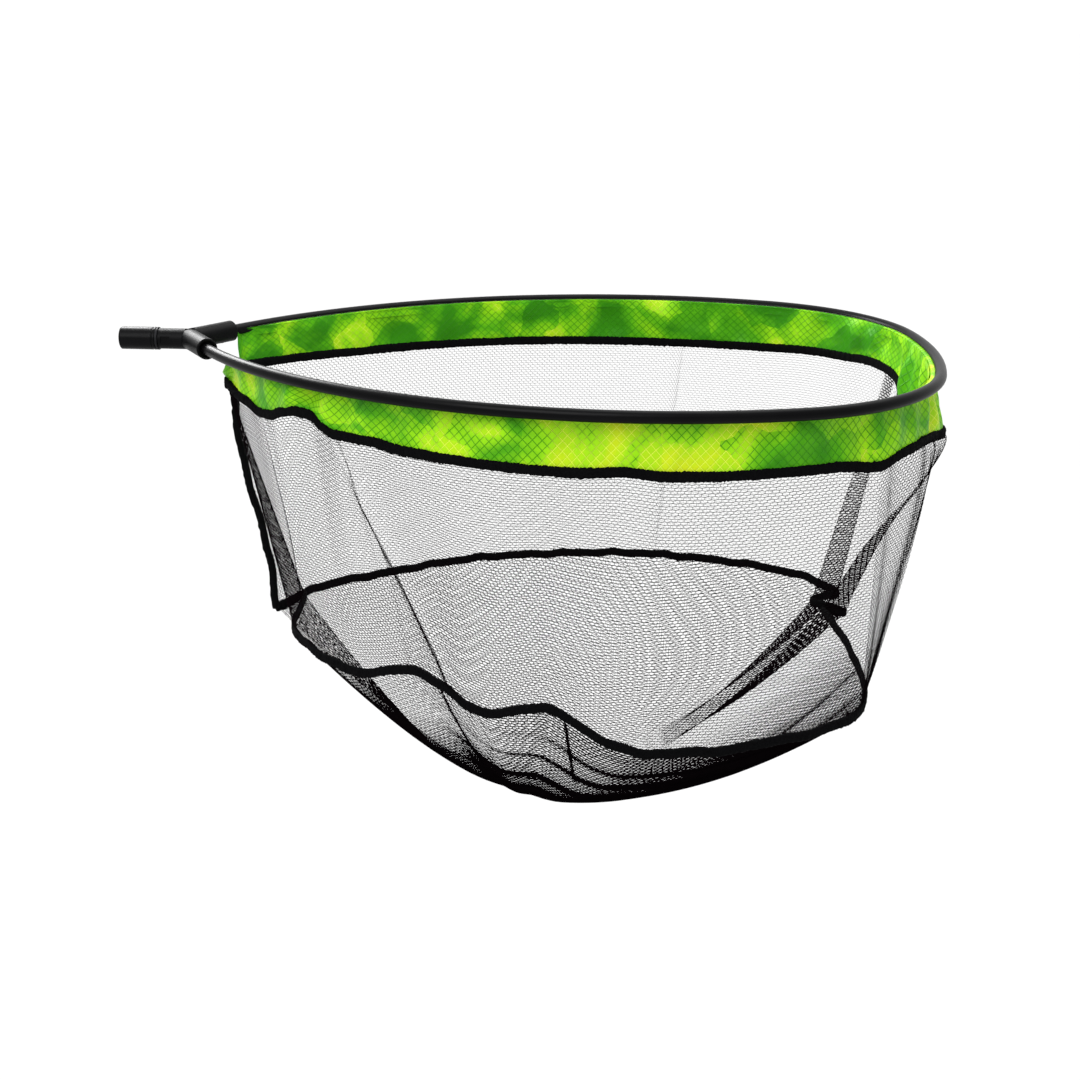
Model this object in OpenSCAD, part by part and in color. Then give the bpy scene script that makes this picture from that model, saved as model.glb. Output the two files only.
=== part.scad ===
// Landing net head: a slotted D-shaped hoop in a moulded yoke, with a fabric band and a mesh bag.
// Millimetres. Origin at the mouth of the pole socket, X towards the tip of the hoop, Z up.

/* [Handle end] */
// Outside diameter of the ferrule
ferrule_diameter = 19.3; // [19:0.1:21]
// Length of the ferrule
ferrule_length = 31; // [30:0.5:40]
// Outside diameter of the pole that is glued into the ferrule
pole_diameter = 16; // [15:0.1:16.4]
// How far the pole goes into the ferrule
pole_depth = 15; // [12:0.5:15]
// Thickness of the washer that the yoke is screwed up against
washer_thickness = 2; // [1.5:0.1:3]

/* [Thread] */
// Crest diameter of the stud's thread
thread_diameter = 9.525; // [9:0.005:10]
// Advance of the head in one turn
thread_pitch = 1.27; // [1:0.01:1.5]
// Whole turns from tight to free
thread_turns = 9; // [6:1:9]

/* [Yoke] */
// Length of the yoke from the washer to the middle of the hoop sockets
yoke_length = 52.3; // [50:0.1:58]
// Diameter of the stem
stem_diameter = 17.5; // [17:0.1:18.5]
// Outside diameter of the two arms
arm_diameter = 17.8; // [17:0.1:19]
// Depth of the hoop sockets
socket_depth = 26; // [22:0.5:28]

/* [Hoop] */
// Length from the sockets to the tip, along the middle of the tube
hoop_length = 600; // [590:1:620]
// Width between the middles of the tube
hoop_width = 450; // [440:1:460]
// Angle between each arm and the handle
arm_angle = 56; // [55:0.5:57]
// Distance between the middles of the tube where it leaves the two sockets
socket_spread = 77; // [70:0.5:84]
// Bend radius of the two front corners
corner_radius = 169; // [160:1:178]
// Bend radius of the tip
tip_radius = 405; // [395:1:420]
// Outside diameter of the tube
tube_diameter = 9.4; // [9:0.1:10]
// Wall of the tube
tube_wall = 1.5; // [1.3:0.1:1.7]

/* [Net] */
// Height of the fabric band, down to the middle of the tape on its edge
band_height = 42; // [36:1:46]
// Height of the tape that binds an edge
binding_height = 8; // [7:0.5:9]
// Depth of the seam that joins the wall to the base, under the middle of the tube
wall_depth = 255; // [240:1:270]
// How far the base hangs under that seam
base_sag = 158; // [135:1:170]
// Length of the base seam over the length of the band
base_length_ratio = 0.884; // [0.86:0.002:0.92]
// Width of the base seam over the width of the band
base_width_ratio = 0.936; // [0.9:0.002:0.96]
// How far the band sags where it crosses from arm to arm
cross_sag = 22; // [18:1:26]
// Depth of the wall's hanging folds
fold_depth = 7; // [4:0.5:9]
// Width of the strips between the openings of the net
net_strip = 6; // [5:0.5:8]

/* [Hidden] */
$fn = 64;

// Clearance between rigid pieces, and between a sheet and the tape that holds it
fit_gap = 0.1;
cloth_gap = 0.25;
// Overshoot of a cutting tool past the face that it cuts
over = 1;

// Socket faces, measured from the mouth of the pole socket; the hoop and net are drawn from there
socket_x = ferrule_length + washer_thickness + yoke_length;
washer_x = ferrule_length + washer_thickness;

// Rolled groove that grips the insert in the ferrule
bore_radius = pole_diameter / 2 + 0.05;
insert_bore_radius = bore_radius - 0.4;
groove_radius = 0.8;
groove_x = ferrule_length - 2.6;
ferrule_chamfer = 0.6;

// Stud: thread, knurled shank and drilled tang
stud_reach = thread_turns * thread_pitch + 1.5;
thread_depth = 0.6 * thread_pitch;
shank_radius = 4.5;
shank_length = 19;
tang_thickness = 5;
tang_length = 16;
tang_hole_x = washer_x + shank_length + 8;

// Screw and nut through the tang
screw_radius = 2;
screw_head_radius = 3.9;
screw_head_height = 2.6;
screw_seat_z = 5;
nut_radius = 7 / sqrt(3);
nut_height = 3.2;
nut_seat_z = -5.2;

// Yoke: the arm axes cross on the handle axis behind the sockets
hoop_start_y = socket_spread / 2;
cross_x = -hoop_start_y / tan(arm_angle);
arm_length = hoop_start_y / sin(arm_angle);
arm_radius = arm_diameter / 2;
mouth_radius = arm_radius - 1.9;
mouth_depth = 4;
rim_chamfer = 0.7;
web_thickness = 11;
web_reach = 30;
web_cut_radius = 17;
flat_depth = 0.7;
flat_length = 8;

// Screws that hold the hoop ends, from below
end_screw_radius = 1.5;
end_screw_head_radius = 2.8;
end_screw_along = arm_length - socket_depth / 2;

// How far one bend of the hoop laps into the next, and how much thinner it is there
lap = 0.4;
lap_slim = 0.01;

// Tube and the slot along its inner side
tube_radius = tube_diameter / 2;
channel_radius = tube_radius - tube_wall;
slot_height = 2.2;

// Keder: a cord in a tape, whose flange comes out through the slot
tape_thickness = 0.6;
keder_radius = channel_radius - 0.3 - tape_thickness;
neck_height = 2 * tape_thickness;
flange_inset = tube_radius + 2.3;
flange_drop = 6.5;

// Arcs of the hoop in plan: radius, centres, and the normals where one arc runs into the next
side_radius = (hoop_width / 2 - hoop_start_y) / (1 - cos(arm_angle));
side_centre = [side_radius * sin(arm_angle), hoop_width / 2 - side_radius];
tip_centre = [hoop_length - tip_radius, 0];
side_to_corner = side_radius - corner_radius;
tip_to_corner = tip_radius - corner_radius;
centres_apart = norm(tip_centre - side_centre);
centre_heading = (tip_centre - side_centre) / centres_apart;
corner_along = (side_to_corner ^ 2 - tip_to_corner ^ 2 + centres_apart ^ 2) / (2 * centres_apart);
corner_across = sqrt(side_to_corner ^ 2 - corner_along ^ 2);
corner_centre = side_centre + corner_along * centre_heading
    + corner_across * [centre_heading.y, -centre_heading.x];
side_end = heading(corner_centre - side_centre);
corner_end = heading(corner_centre - tip_centre);

// The band hangs inside the flange and crosses from arm to arm in front of the yoke
sheet_thickness = 0.8;
band_inset = flange_inset + tape_thickness * 2 + cloth_gap + sheet_thickness / 2;
cross_front_x = 10;
cross_radius = 25;
cross_reach = side_radius - band_inset - cross_radius;
cross_centre = [cross_front_x + cross_radius,
    side_centre.y + sqrt(cross_reach ^ 2 - (cross_front_x + cross_radius - side_centre.x) ^ 2)];
cross_end = heading(cross_centre - side_centre);

// Stations round the net, from the middle of the crossing along the left side to the tip and back
half_loop = concat(
    [for (i = [0:1]) [cross_front_x, cross_centre.y * i / 2, -1, 0]],
    arc_stations(cross_centre, cross_radius, 180, cross_end, 2),
    arc_stations(side_centre, side_radius - band_inset, cross_end, side_end, 22),
    arc_stations(corner_centre, corner_radius - band_inset, side_end, corner_end, 7),
    arc_stations(tip_centre, tip_radius - band_inset, corner_end, 0, 3),
    [[hoop_length - band_inset, 0, 1, 0]]);
half_count = len(half_loop) - 1;
loop = concat(half_loop, [for (i = [half_count - 1:-1:1])
    [half_loop[i][0], -half_loop[i][1], half_loop[i][2], -half_loop[i][3]]]);
count = len(loop);

// Hanging edges of the net
band_top = tape_thickness;
binding_thickness = sheet_thickness + 2 * cloth_gap + 2 * 1.1;
tape_web = 0.5;
tape_edge = binding_height / 2 + 0.5;
sheet_edge = tape_web + cloth_gap;
loop_middle_x = cross_front_x * 0.3 + hoop_length * 0.425;
band_wave = 2;
hem_wave = 1.5;
base_wave = 3;
seam_width = 6;
seam_thickness = 1.4;
seam_steps = 5;

// Openings of the net: stations from one upright strip to the next, rows in the wall and rows in the base
post_step = 3;
posts = count / post_step;
// Stations that an upright strip of the wall leans on its way down, away from the seam at the handle end
post_lean = 0.8;
wall_rows = 3;
base_rows = 4;
// Share of the base, at its lowest point, that has no openings, and how fast its rows grow towards that
base_hub = 0.14;
base_row_growth = 1.15;

// The seam of the base falls towards the tip on the right side, and the thread draws it up at two stations
seam_fall = 14;
drawn_stations = [count - 13, count - 18];
drawn_lifts = [20, 11];
drawn_spread = 2;

// Tucks that fold the wall inwards, deepest at the seam: by the handle and at the tip
tuck_stations = [count - 4, half_count - 4];
tuck_depths = [14, 22];
tuck_spread = 1.3;

// The base hangs lowest in front of the middle, and is rounder towards the tip
sag_x = hoop_length * 0.52;
sag_power_handle = 1.55;
sag_power_tip = 2.4;

function heading(v) = atan2(v.y, v.x);

function arc_stations(centre, radius, from, to, steps) = [for (i = [0:steps - 1])
    let (a = from + (to - from) * i / steps)
    [centre.x + radius * cos(a), centre.y + radius * sin(a), cos(a), sin(a)]];

// Station at any place round the net, also between two of the loop's stations
function loop_at(i) = let (a = floor(i), f = i - a)
    (1 - f) * loop[(a + count) % count] + f * loop[(a + 1 + count) % count];

// 0 at the seam in the middle of the crossing, 1 away from it
function calm(i) = 1 - exp(-(min(i, count - i) / 4) ^ 2);
function ripple(i) = calm(i) * (0.6 * cos(360 * 7 * i / count) + 0.4 * cos(360 * 11 * i / count + 50));
// Sum of bumps of the given heights at the given stations
function bumps(i, stations, heights, spread) =
    heights * [for (station = stations) exp(-((i - station) / spread) ^ 2)];
// 1 in the middle of the crossing, 0 where the hoop carries the band
function crossing(i) = max(0, 1 - (abs(loop_at(i)[1]) / (cross_centre.y + cross_radius * sin(cross_end))) ^ 2)
    * (loop_at(i)[0] < hoop_length / 2 ? 1 : 0);

function band_low(i) = -band_height - cross_sag * crossing(i) + hem_wave * ripple(i + 2);
// 1 on the right side of the net, 0 on the left
function right_side(i) = 0.5 - loop_at(i)[1] / hoop_width;
function base_low(i) = -wall_depth + base_wave * ripple(i + 1)
    - seam_fall * right_side(i) * (loop_at(i)[0] - loop_middle_x) / (hoop_length / 2)
    + bumps(i, drawn_stations, drawn_lifts, drawn_spread);

// A point on the edge between band and wall, moved out by n and up by z
function hem_point(i, n, z) = let (q = loop_at(i), out = n + band_wave * ripple(i))
    [q[0] + q[2] * out, q[1] + q[3] * out, band_low(i) + z];

// A point on the band, v from 0 at the top to 1 at the tape on its lower edge, moved out by n
function band_point(i, v, n) = let (q = loop_at(i), out = n + band_wave * v ^ 2 * ripple(i))
    [q[0] + q[2] * out, q[1] + q[3] * out,
        (1 - v) * (band_top - cross_sag * crossing(i)) + v * (band_low(i) + tape_edge)];

// A point on the edge between wall and base, moved out by n and up by z
function seam_point(i, n, z) = let (q = loop_at(i),
    out = n + fold_depth * 0.4 * ripple(i) - bumps(i, tuck_stations, tuck_depths, tuck_spread))
    [loop_middle_x + (q[0] - loop_middle_x) * base_length_ratio + q[2] * out,
        q[1] * base_width_ratio + q[3] * out, base_low(i) + z];

// A point on the wall, v from 0 under the band's tape to 1 above the base's tape, moved out by n
function wall_point(i, v, n) = let (q = loop_at(i), belly = n + fold_depth * sin(180 * v) * ripple(i))
    (1 - v) * hem_point(i, 0, -tape_edge) + v * seam_point(i, 0, tape_edge) + [q[2] * belly, q[3] * belly, 0];

// A point on the base, r from 0 at its lowest point to 1 under the tape, moved up by z
function base_point(i, r, z) = let (edge = seam_point(i, 0, -tape_edge), low = -wall_depth - base_sag,
    power = sag_power_handle + (sag_power_tip - sag_power_handle) * edge.x / hoop_length)
    [sag_x + (edge.x - sag_x) * r, edge.y * r, low + (edge.z - low) * r ^ power + z];

// Edges of the net's upright strips, as places round the net
function half_strip(i) = let (step = loop_at(i + 0.5) - loop_at(i - 0.5))
    net_strip / 2 / norm([step[0], step[1]]);
strip_edges = [for (i = [0:post_step:count - 1]) each [i - half_strip(i), i + half_strip(i)]];
// Upper and lower edge of each row of openings, from 0 to 1 down a net of the given depth
function row_edges(rows, depth) = let (half = net_strip / 2 / depth)
    [for (k = [0:rows - 1]) each [k / rows + half, (k + 1) / rows - half]];

// Outline of a tape that grips a sheet's edge from above and another from below, out and up
tape_profile = let (h = binding_height / 2, t = binding_thickness / 2, g = sheet_thickness / 2 + cloth_gap,
    d = tape_web)
    [[t, h], [t, -h], [g, -h], [g, -d], [-g, -d], [-g, -h], [-t, -h], [-t, h], [-g, h], [-g, d], [g, d], [g, h]];

// Faces between ring a and ring b of m points each, with the rings' points running the same way
function band_faces(a, b, m) = [for (k = [0:m - 1]) let (j = (k + 1) % m)
    each [[a + k, a + j, b + j], [a + k, b + j, b + k]]];

// Closed solid from rings of points, one ring for each station round the net
module ring_solid(rings) {
    n = len(rings);
    m = len(rings[0]);
    polyhedron(points = [for (ring = rings) each ring],
        faces = [for (i = [0:n - 1]) each band_faces(i * m, (i + 1) % n * m, m)]);
}

// Solid from rings of points, closed by a flat face at each end
module strip_solid(rings) {
    n = len(rings);
    m = len(rings[0]);
    polyhedron(points = [for (ring = rings) each ring],
        faces = concat([for (i = [0:n - 2]) each band_faces(i * m, (i + 1) * m, m)],
            [[for (k = [m - 1:-1:0]) k], [for (k = [0:m - 1]) (n - 1) * m + k]]));
}

// Faces from row a of stations to row b of strip edges under it
function rim_faces(a, b) = [for (c = [0:posts - 1])
    let (first = c * post_step, middle = floor(post_step / 2), left = b + 2 * c, right = left + 1,
        next = b + (2 * c + 2) % (2 * posts))
    each concat([[a + first, right, left], [a + first + middle, next, right]],
        [for (k = [first:first + post_step - 1])
            [a + k, a + (k + 1) % count, k < first + middle ? right : next]])];

// Faces of the upright strips from row a to row b of strip edges
function post_faces(a, b) = [for (k = [0:2:2 * posts - 2])
    each [[a + k, a + k + 1, b + k + 1], [a + k, b + k + 1, b + k]]];

// Sides of the openings between rows a and b of strip edges; the other face's points follow by depth
function opening_faces(a, b, depth) = [for (c = [0:posts - 1])
    let (left = 2 * c + 1, right = (2 * c + 2) % (2 * posts),
        corners = [a + left, a + right, b + right, b + left])
    each [for (k = [0:3]) let (p = corners[k], q = corners[(k + 1) % 4])
        each [[p, q, q + depth], [p, q + depth, p + depth]]]];

function flipped(faces) = [for (f = faces) [f[0], f[2], f[1]]];

// Faces from row k to the next row of one face of a net
function row_faces(rows, starts, k) =
    let (a = starts[k], b = starts[k + 1], m = len(rows[k]), n = len(rows[k + 1]))
    n == 1 ? [for (j = [0:m - 1]) [a + j, a + (j + 1) % m, b]]
    : m > n ? rim_faces(a, b)
    : m < n ? flipped(rim_faces(b, a))
    : m == count || k % 2 == 1 ? band_faces(a, b, m)
    : post_faces(a, b);

// Net with rows of openings, from the rows of points on its outer face and on its inner face. The first two
// rows lie at the stations and the next ones at the strips' edges. The last two lie at the stations again, or
// the last is one point. The faces meet in a thin edge along the first row, and along a last row of stations.
module net_solid(outer, inner) {
    starts = [for (k = 0, s = 0; k < len(outer); s = s + len(outer[k]), k = k + 1) s];
    last = len(outer) - 1;
    two_edges = len(outer[last]) == count;
    last_inner = two_edges ? last - 1 : last;
    depth = starts[last] + len(outer[last]) - count;
    face = [for (k = [0:last - 1]) each row_faces(outer, starts, k)];
    back = [for (f = flipped(face))
        [for (p = f) p < count || (two_edges && p >= starts[last]) ? p : p + depth]];
    openings = [for (k = [2:2:last - 2]) if (len(outer[k + 1]) == 2 * posts)
        each opening_faces(starts[k], starts[k + 1], depth)];
    polyhedron(points = concat([for (row = outer) each row], [for (k = [1:last_inner]) each inner[k]]),
        faces = flipped(concat(face, back, openings)));
}

// Sweeps an outline, out and up, along the arcs of the hoop. The corner arcs run a little way into the arcs
// next to them, and their outline is thinner by $slim, so that each stays inside its neighbour.
module along_hoop(first_normal) {
    lap_angle = lap * 180 / (PI * corner_radius);
    for (side = [0, 1])
        mirror([0, side, 0]) {
            arc_sweep(side_centre, side_radius, side_end, first_normal, 0)
                children();
            arc_sweep(corner_centre, corner_radius, corner_end - lap_angle, side_end + lap_angle, lap_slim)
                children();
        }
    arc_sweep(tip_centre, tip_radius, -corner_end, corner_end, 0)
        children();
}

module arc_sweep(centre, radius, from, to, $slim) {
    translate([centre.x, centre.y, 0])
        rotate([0, 0, from])
            rotate_extrude(angle = to - from)
                translate([radius, 0])
                    children();
}

// Places children at the crossing of the arm axes, with Z along each arm in turn
module on_arms() {
    for (side = [-1, 1])
        translate([socket_x + cross_x, 0, 0])
            rotate([0, 90, side * arm_angle])
                children();
}

// Solid of revolution about the handle axis, from an outline of [x, radius] points
module turned(outline) {
    rotate([0, 90, 0])
        rotate_extrude()
            polygon([for (p = outline) [p[1], p[0]]]);
}

module handle_ferrule() color("#1b1b1d") {
    outside = ferrule_diameter / 2;
    difference() {
        turned([[0, bore_radius], [0, outside - ferrule_chamfer], [ferrule_chamfer, outside],
            [ferrule_length - ferrule_chamfer, outside], [ferrule_length, outside - ferrule_chamfer],
            [ferrule_length, insert_bore_radius], [pole_depth, insert_bore_radius], [pole_depth, bore_radius]]);
        translate([groove_x, 0, 0])
            groove_ring(outside + groove_radius * 0.3, groove_radius);
    }
    // The rolled groove stands proud inside and sits in the insert's own groove
    intersection() {
        translate([groove_x, 0, 0])
            groove_ring(insert_bore_radius + groove_radius * 0.3, groove_radius);
        turned([[pole_depth, 0], [pole_depth, insert_bore_radius + fit_gap],
            [ferrule_length, insert_bore_radius + fit_gap], [ferrule_length, 0]]);
    }
}

module groove_ring(middle, radius) {
    rotate([0, 90, 0])
        rotate_extrude()
            translate([middle, 0])
                circle(radius);
}

module thread_insert() color("#b08d4a") {
    insert_radius = insert_bore_radius - fit_gap / 2;
    hole_radius = thread_diameter / 2 + fit_gap;
    difference() {
        turned([[pole_depth + 0.5, 0], [pole_depth + 0.5, insert_radius - 0.5], [pole_depth + 1, insert_radius],
            [ferrule_length - 0.2, insert_radius], [ferrule_length - 0.2, 0]]);
        translate([groove_x, 0, 0])
            groove_ring(insert_bore_radius + groove_radius * 0.3, groove_radius + fit_gap);
        turned([[pole_depth, 0], [pole_depth, hole_radius], [ferrule_length - 1, hole_radius],
            [ferrule_length, hole_radius + 1], [ferrule_length, 0]]);
    }
}

module thread_washer() color("#2a2a2c") {
    outside = ferrule_diameter / 2;
    inside = thread_diameter / 2 + 0.4;
    turned([[ferrule_length, inside], [ferrule_length, outside - 0.3], [ferrule_length + 0.3, outside],
        [washer_x - 0.3, outside], [washer_x, outside - 0.3], [washer_x, inside]]);
}

module thread_stud() color("#a9abae") {
    crest = thread_diameter / 2;
    root = crest - thread_depth;
    first_x = washer_x - washer_thickness - stud_reach;
    crests = floor((stud_reach + washer_thickness - 1) / thread_pitch);
    turned(concat(
        [[first_x - 1, 0], [first_x - 1, root - 0.8], [first_x - 0.2, root]],
        [for (i = [0:crests - 1]) let (x = first_x + i * thread_pitch)
            each [[x, root], [x + thread_pitch * 0.42, crest], [x + thread_pitch * 0.58, crest]]],
        [[first_x + crests * thread_pitch, root], [washer_x, root], [washer_x, shank_radius],
            [washer_x + shank_length, shank_radius], [washer_x + shank_length, 0]]));
    difference() {
        tang_blank(0);
        translate([tang_hole_x, 0, 0])
            cylinder(r = screw_radius + fit_gap, h = 4 * shank_radius, center = true);
    }
}

// Flat tang of the stud, or the pocket for it when grown
module tang_blank(grow) {
    intersection() {
        translate([washer_x + shank_length - over, -shank_radius * 2, -tang_thickness / 2 - grow])
            cube([tang_length + over + grow, 4 * shank_radius, tang_thickness + 2 * grow]);
        translate([washer_x, 0, 0])
            rotate([0, 90, 0])
                cylinder(r = shank_radius + grow, h = shank_length + tang_length + grow);
    }
}

module stud_screw() color("#3a3b3d") {
    slot_width = 1.2;
    translate([tang_hole_x, 0, 0])
        difference() {
            rotate_extrude()
                polygon([[0, nut_seat_z - nut_height - 0.2], [screw_radius - 0.4, nut_seat_z - nut_height - 0.2],
                    [screw_radius, nut_seat_z - nut_height + 0.4], [screw_radius, screw_seat_z],
                    [screw_head_radius, screw_seat_z], [screw_head_radius, screw_seat_z + screw_head_height - 0.8],
                    [screw_head_radius - 0.9, screw_seat_z + screw_head_height],
                    [0, screw_seat_z + screw_head_height]]);
            for (turn = [0, 90])
                rotate([0, 0, turn])
                    translate([0, 0, screw_seat_z + screw_head_height])
                        cube([screw_head_radius * 1.1, slot_width, 3], center = true);
        }
}

module stud_nut() color("#9a9c9f") {
    translate([tang_hole_x, 0, nut_seat_z - nut_height])
        difference() {
            linear_extrude(nut_height)
                hexagon(nut_radius);
            translate([0, 0, -over])
                cylinder(r = screw_radius + fit_gap, h = nut_height + 2 * over);
        }
}

module hexagon(radius) {
    polygon([for (a = [0:60:300]) radius * [cos(a), sin(a)]]);
}

module yoke() color("#222224") {
    difference() {
        union() {
            turned([[washer_x, 0], [washer_x, stem_diameter / 2 - rim_chamfer],
                [washer_x + rim_chamfer, stem_diameter / 2], [socket_x + cross_x, stem_diameter / 2],
                [socket_x + cross_x, 0]]);
            translate([socket_x + cross_x, 0, 0])
                sphere(arm_radius);
            on_arms()
                arm_blank();
            yoke_web();
        }
        on_arms()
            arm_socket();
        stud_pocket();
        stem_flats();
        screw_wells();
    }
}

module arm_blank() {
    rotate_extrude()
        polygon([[0, 0], [arm_radius, 0], [arm_radius, arm_length - rim_chamfer],
            [arm_radius - rim_chamfer, arm_length], [0, arm_length]]);
}

// Bore for the tube end, and the wider mouth that it enters through
module arm_socket() {
    translate([0, 0, arm_length - socket_depth - fit_gap])
        cylinder(r = tube_radius + fit_gap, h = socket_depth + over);
    translate([0, 0, arm_length - mouth_depth])
        cylinder(r = mouth_radius, h = mouth_depth + over);
}

// Plate between the arms, with a round front edge
module yoke_web() {
    reach = web_reach * [cos(arm_angle), sin(arm_angle)];
    translate([socket_x + cross_x, 0, -web_thickness / 2])
        linear_extrude(web_thickness)
            difference() {
                polygon([[0, 0], [reach.x, -reach.y], [reach.x, reach.y]]);
                translate([reach.x + web_cut_radius * 0.35, 0])
                    circle(web_cut_radius);
            }
}

module stud_pocket() {
    turned([[washer_x - over, 0], [washer_x - over, shank_radius + fit_gap],
        [washer_x + shank_length + fit_gap, shank_radius + fit_gap], [washer_x + shank_length + fit_gap, 0]]);
    tang_blank(fit_gap);
}

// Flats on the sides of the stem for a spanner
module stem_flats() {
    for (side = [-1, 1])
        translate([washer_x + 3 + flat_length / 2, side * (stem_diameter / 2 - flat_depth + over * 2), 0])
            cube([flat_length, over * 4, stem_diameter], center = true);
}

// Wells for the screw and nut through the tang and for the two screws at the hoop ends
module screw_wells() {
    translate([tang_hole_x, 0, 0]) {
        cylinder(r = screw_radius + fit_gap, h = arm_diameter + 2 * over, center = true);
        translate([0, 0, screw_seat_z])
            cylinder(r = screw_head_radius + 0.35, h = arm_diameter);
        translate([0, 0, nut_seat_z - arm_diameter])
            linear_extrude(arm_diameter)
                hexagon(nut_radius + 0.2);
    }
    at_hoop_ends() {
        translate([0, 0, -arm_diameter])
            cylinder(r = end_screw_radius + fit_gap, h = arm_diameter);
        translate([0, 0, -arm_diameter - arm_radius + 1.6])
            cylinder(r = end_screw_head_radius + fit_gap, h = arm_diameter);
    }
}

// Places children under each arm, on the axis of the hoop-end screw
module at_hoop_ends() {
    for (side = [-1, 1])
        translate([socket_x + cross_x + end_screw_along * cos(arm_angle),
            side * end_screw_along * sin(arm_angle), 0])
            children();
}

module hoop_tube() color("#3b3a3d") {
    lap_angle = lap * 180 / (PI * side_radius);
    translate([socket_x, 0, 0]) {
        along_hoop(cross_end)
            slotted_section();
        // Closed tube between the sockets and the slot
        for (side = [0, 1])
            mirror([0, side, 0])
                arc_sweep(side_centre, side_radius, cross_end - lap_angle, 90 + arm_angle + lap_angle, lap_slim)
                    tube_section();
    }
    difference() {
        on_arms()
            translate([0, 0, arm_length - socket_depth])
                linear_extrude(socket_depth)
                    tube_section($slim = 0);
        at_hoop_ends()
            translate([0, 0, -tube_diameter])
                cylinder(r = end_screw_radius + fit_gap, h = tube_diameter);
    }
}

module tube_section() {
    difference() {
        circle(tube_radius - $slim);
        circle(channel_radius + $slim);
    }
}

// The tube with its slot, which faces inwards
module slotted_section() {
    difference() {
        tube_section();
        translate([-tube_radius - over, -slot_height / 2 - $slim])
            square([tube_radius + over, slot_height + 2 * $slim]);
    }
}

module hoop_screws() color("#8c8e91") {
    head_z = -arm_radius + 1.6;
    at_hoop_ends()
        difference() {
            rotate_extrude()
                polygon([[0, head_z - 1.5], [end_screw_head_radius - 0.5, head_z - 1.5],
                    [end_screw_head_radius, head_z - 1], [end_screw_head_radius, head_z],
                    [end_screw_radius, head_z], [end_screw_radius, -channel_radius + 0.6],
                    [0, -channel_radius + 1.8]]);
            for (turn = [0, 90])
                rotate([0, 0, turn])
                    translate([0, 0, head_z - 1.5])
                        cube([end_screw_head_radius * 1.1, 0.8, 1.4], center = true);
        }
}

module keder_cord() color("#e8e6df") {
    translate([socket_x, 0, 0])
        along_hoop(cross_end)
            circle(keder_radius - $slim);
}

module keder_tape() color("#5fb321") {
    translate([socket_x, 0, 0])
        along_hoop(cross_end)
            tape_section();
}

// A sleeve round the cord, a neck through the slot and a flange that hangs from it
module tape_section() {
    sleeve = keder_radius + 0.1;
    flange = 2 * tape_thickness;
    difference() {
        union() {
            circle(sleeve + tape_thickness - $slim);
            translate([-flange_inset - flange + $slim, -neck_height / 2 + $slim])
                square([flange_inset + flange, neck_height - 2 * $slim]);
            translate([-flange_inset - flange + $slim, -flange_drop + $slim])
                square([flange - 2 * $slim, flange_drop]);
        }
        circle(sleeve + $slim);
    }
}

module band_fabric() color("#66c018") {
    steps = 3;
    half = sheet_thickness / 2;
    translate([socket_x, 0, 0])
        ring_solid([for (i = [0:count - 1]) concat(
            [for (k = [0:steps]) band_point(i, k / steps, half)],
            [hem_point(i, half, sheet_edge), hem_point(i, -half, sheet_edge)],
            [for (k = [steps:-1:0]) band_point(i, k / steps, -half)])]);
}

module band_binding() color("#141414") {
    translate([socket_x, 0, 0])
        ring_solid([for (i = [0:count - 1]) [for (p = tape_profile) hem_point(i, p[0], p[1])]]);
}

module wall_mesh() color("#2b2b2b") {
    half = sheet_thickness / 2;
    translate([socket_x, 0, 0])
        net_solid(wall_rows_of_points(half), wall_rows_of_points(-half));
}

// Rows of points on the wall from the band's tape to the base's tape, moved out by n
function wall_rows_of_points(n) = concat(
    [[for (i = [0:count - 1]) hem_point(i, 0, -sheet_edge)]],
    [[for (i = [0:count - 1]) wall_point(i, 0, n)]],
    [for (v = row_edges(wall_rows, wall_depth - band_height))
        [for (i = strip_edges) wall_point(i + post_lean * calm(i) * (v - 0.5), v, n)]],
    [[for (i = [0:count - 1]) wall_point(i, 1, n)]],
    [[for (i = [0:count - 1]) seam_point(i, 0, sheet_edge)]]);

// Tape over the wall's upright seam, outside the wall at the handle end
module wall_seam_binding() color("#141414") {
    inner = sheet_thickness / 2 + cloth_gap;
    outer = inner + seam_thickness;
    side = [0, seam_width / 2, 0];
    translate([socket_x, 0, 0])
        strip_solid([for (k = [0:seam_steps]) let (v = k / seam_steps)
            [wall_point(0, v, inner) - side, wall_point(0, v, inner) + side,
                wall_point(0, v, outer) + side, wall_point(0, v, outer) - side]]);
}

module base_binding() color("#141414") {
    translate([socket_x, 0, 0])
        ring_solid([for (i = [0:count - 1]) [for (p = tape_profile) seam_point(i, p[0], p[1])]]);
}

module base_mesh() color("#2b2b2b") {
    half = sheet_thickness / 2;
    translate([socket_x, 0, 0])
        net_solid(base_rows_of_points(half), base_rows_of_points(-half));
}

// Rows of points on the base from its tape to its lowest point, moved out by n
function base_rows_of_points(n) = concat(
    [[for (i = [0:count - 1]) seam_point(i, 0, -sheet_edge)]],
    [[for (i = [0:count - 1]) seam_point(i, n, -tape_edge)]],
    [for (v = row_edges(base_rows, hoop_width / 2)) let (r = 1 - (1 - base_hub) * v ^ base_row_growth)
        [for (i = strip_edges) base_point(i, r, -n)]],
    [[base_point(0, 0, -n)]]);

handle_ferrule();
thread_insert();
thread_washer();
thread_stud();
stud_screw();
stud_nut();
yoke();
hoop_tube();
hoop_screws();
keder_cord();
keder_tape();
band_fabric();
band_binding();
wall_mesh();
wall_seam_binding();
base_binding();
base_mesh();
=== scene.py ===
import bpy
import numpy as np
from bpy.props import FloatProperty, FloatVectorProperty, PointerProperty
from mathutils import Matrix, Vector


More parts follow.
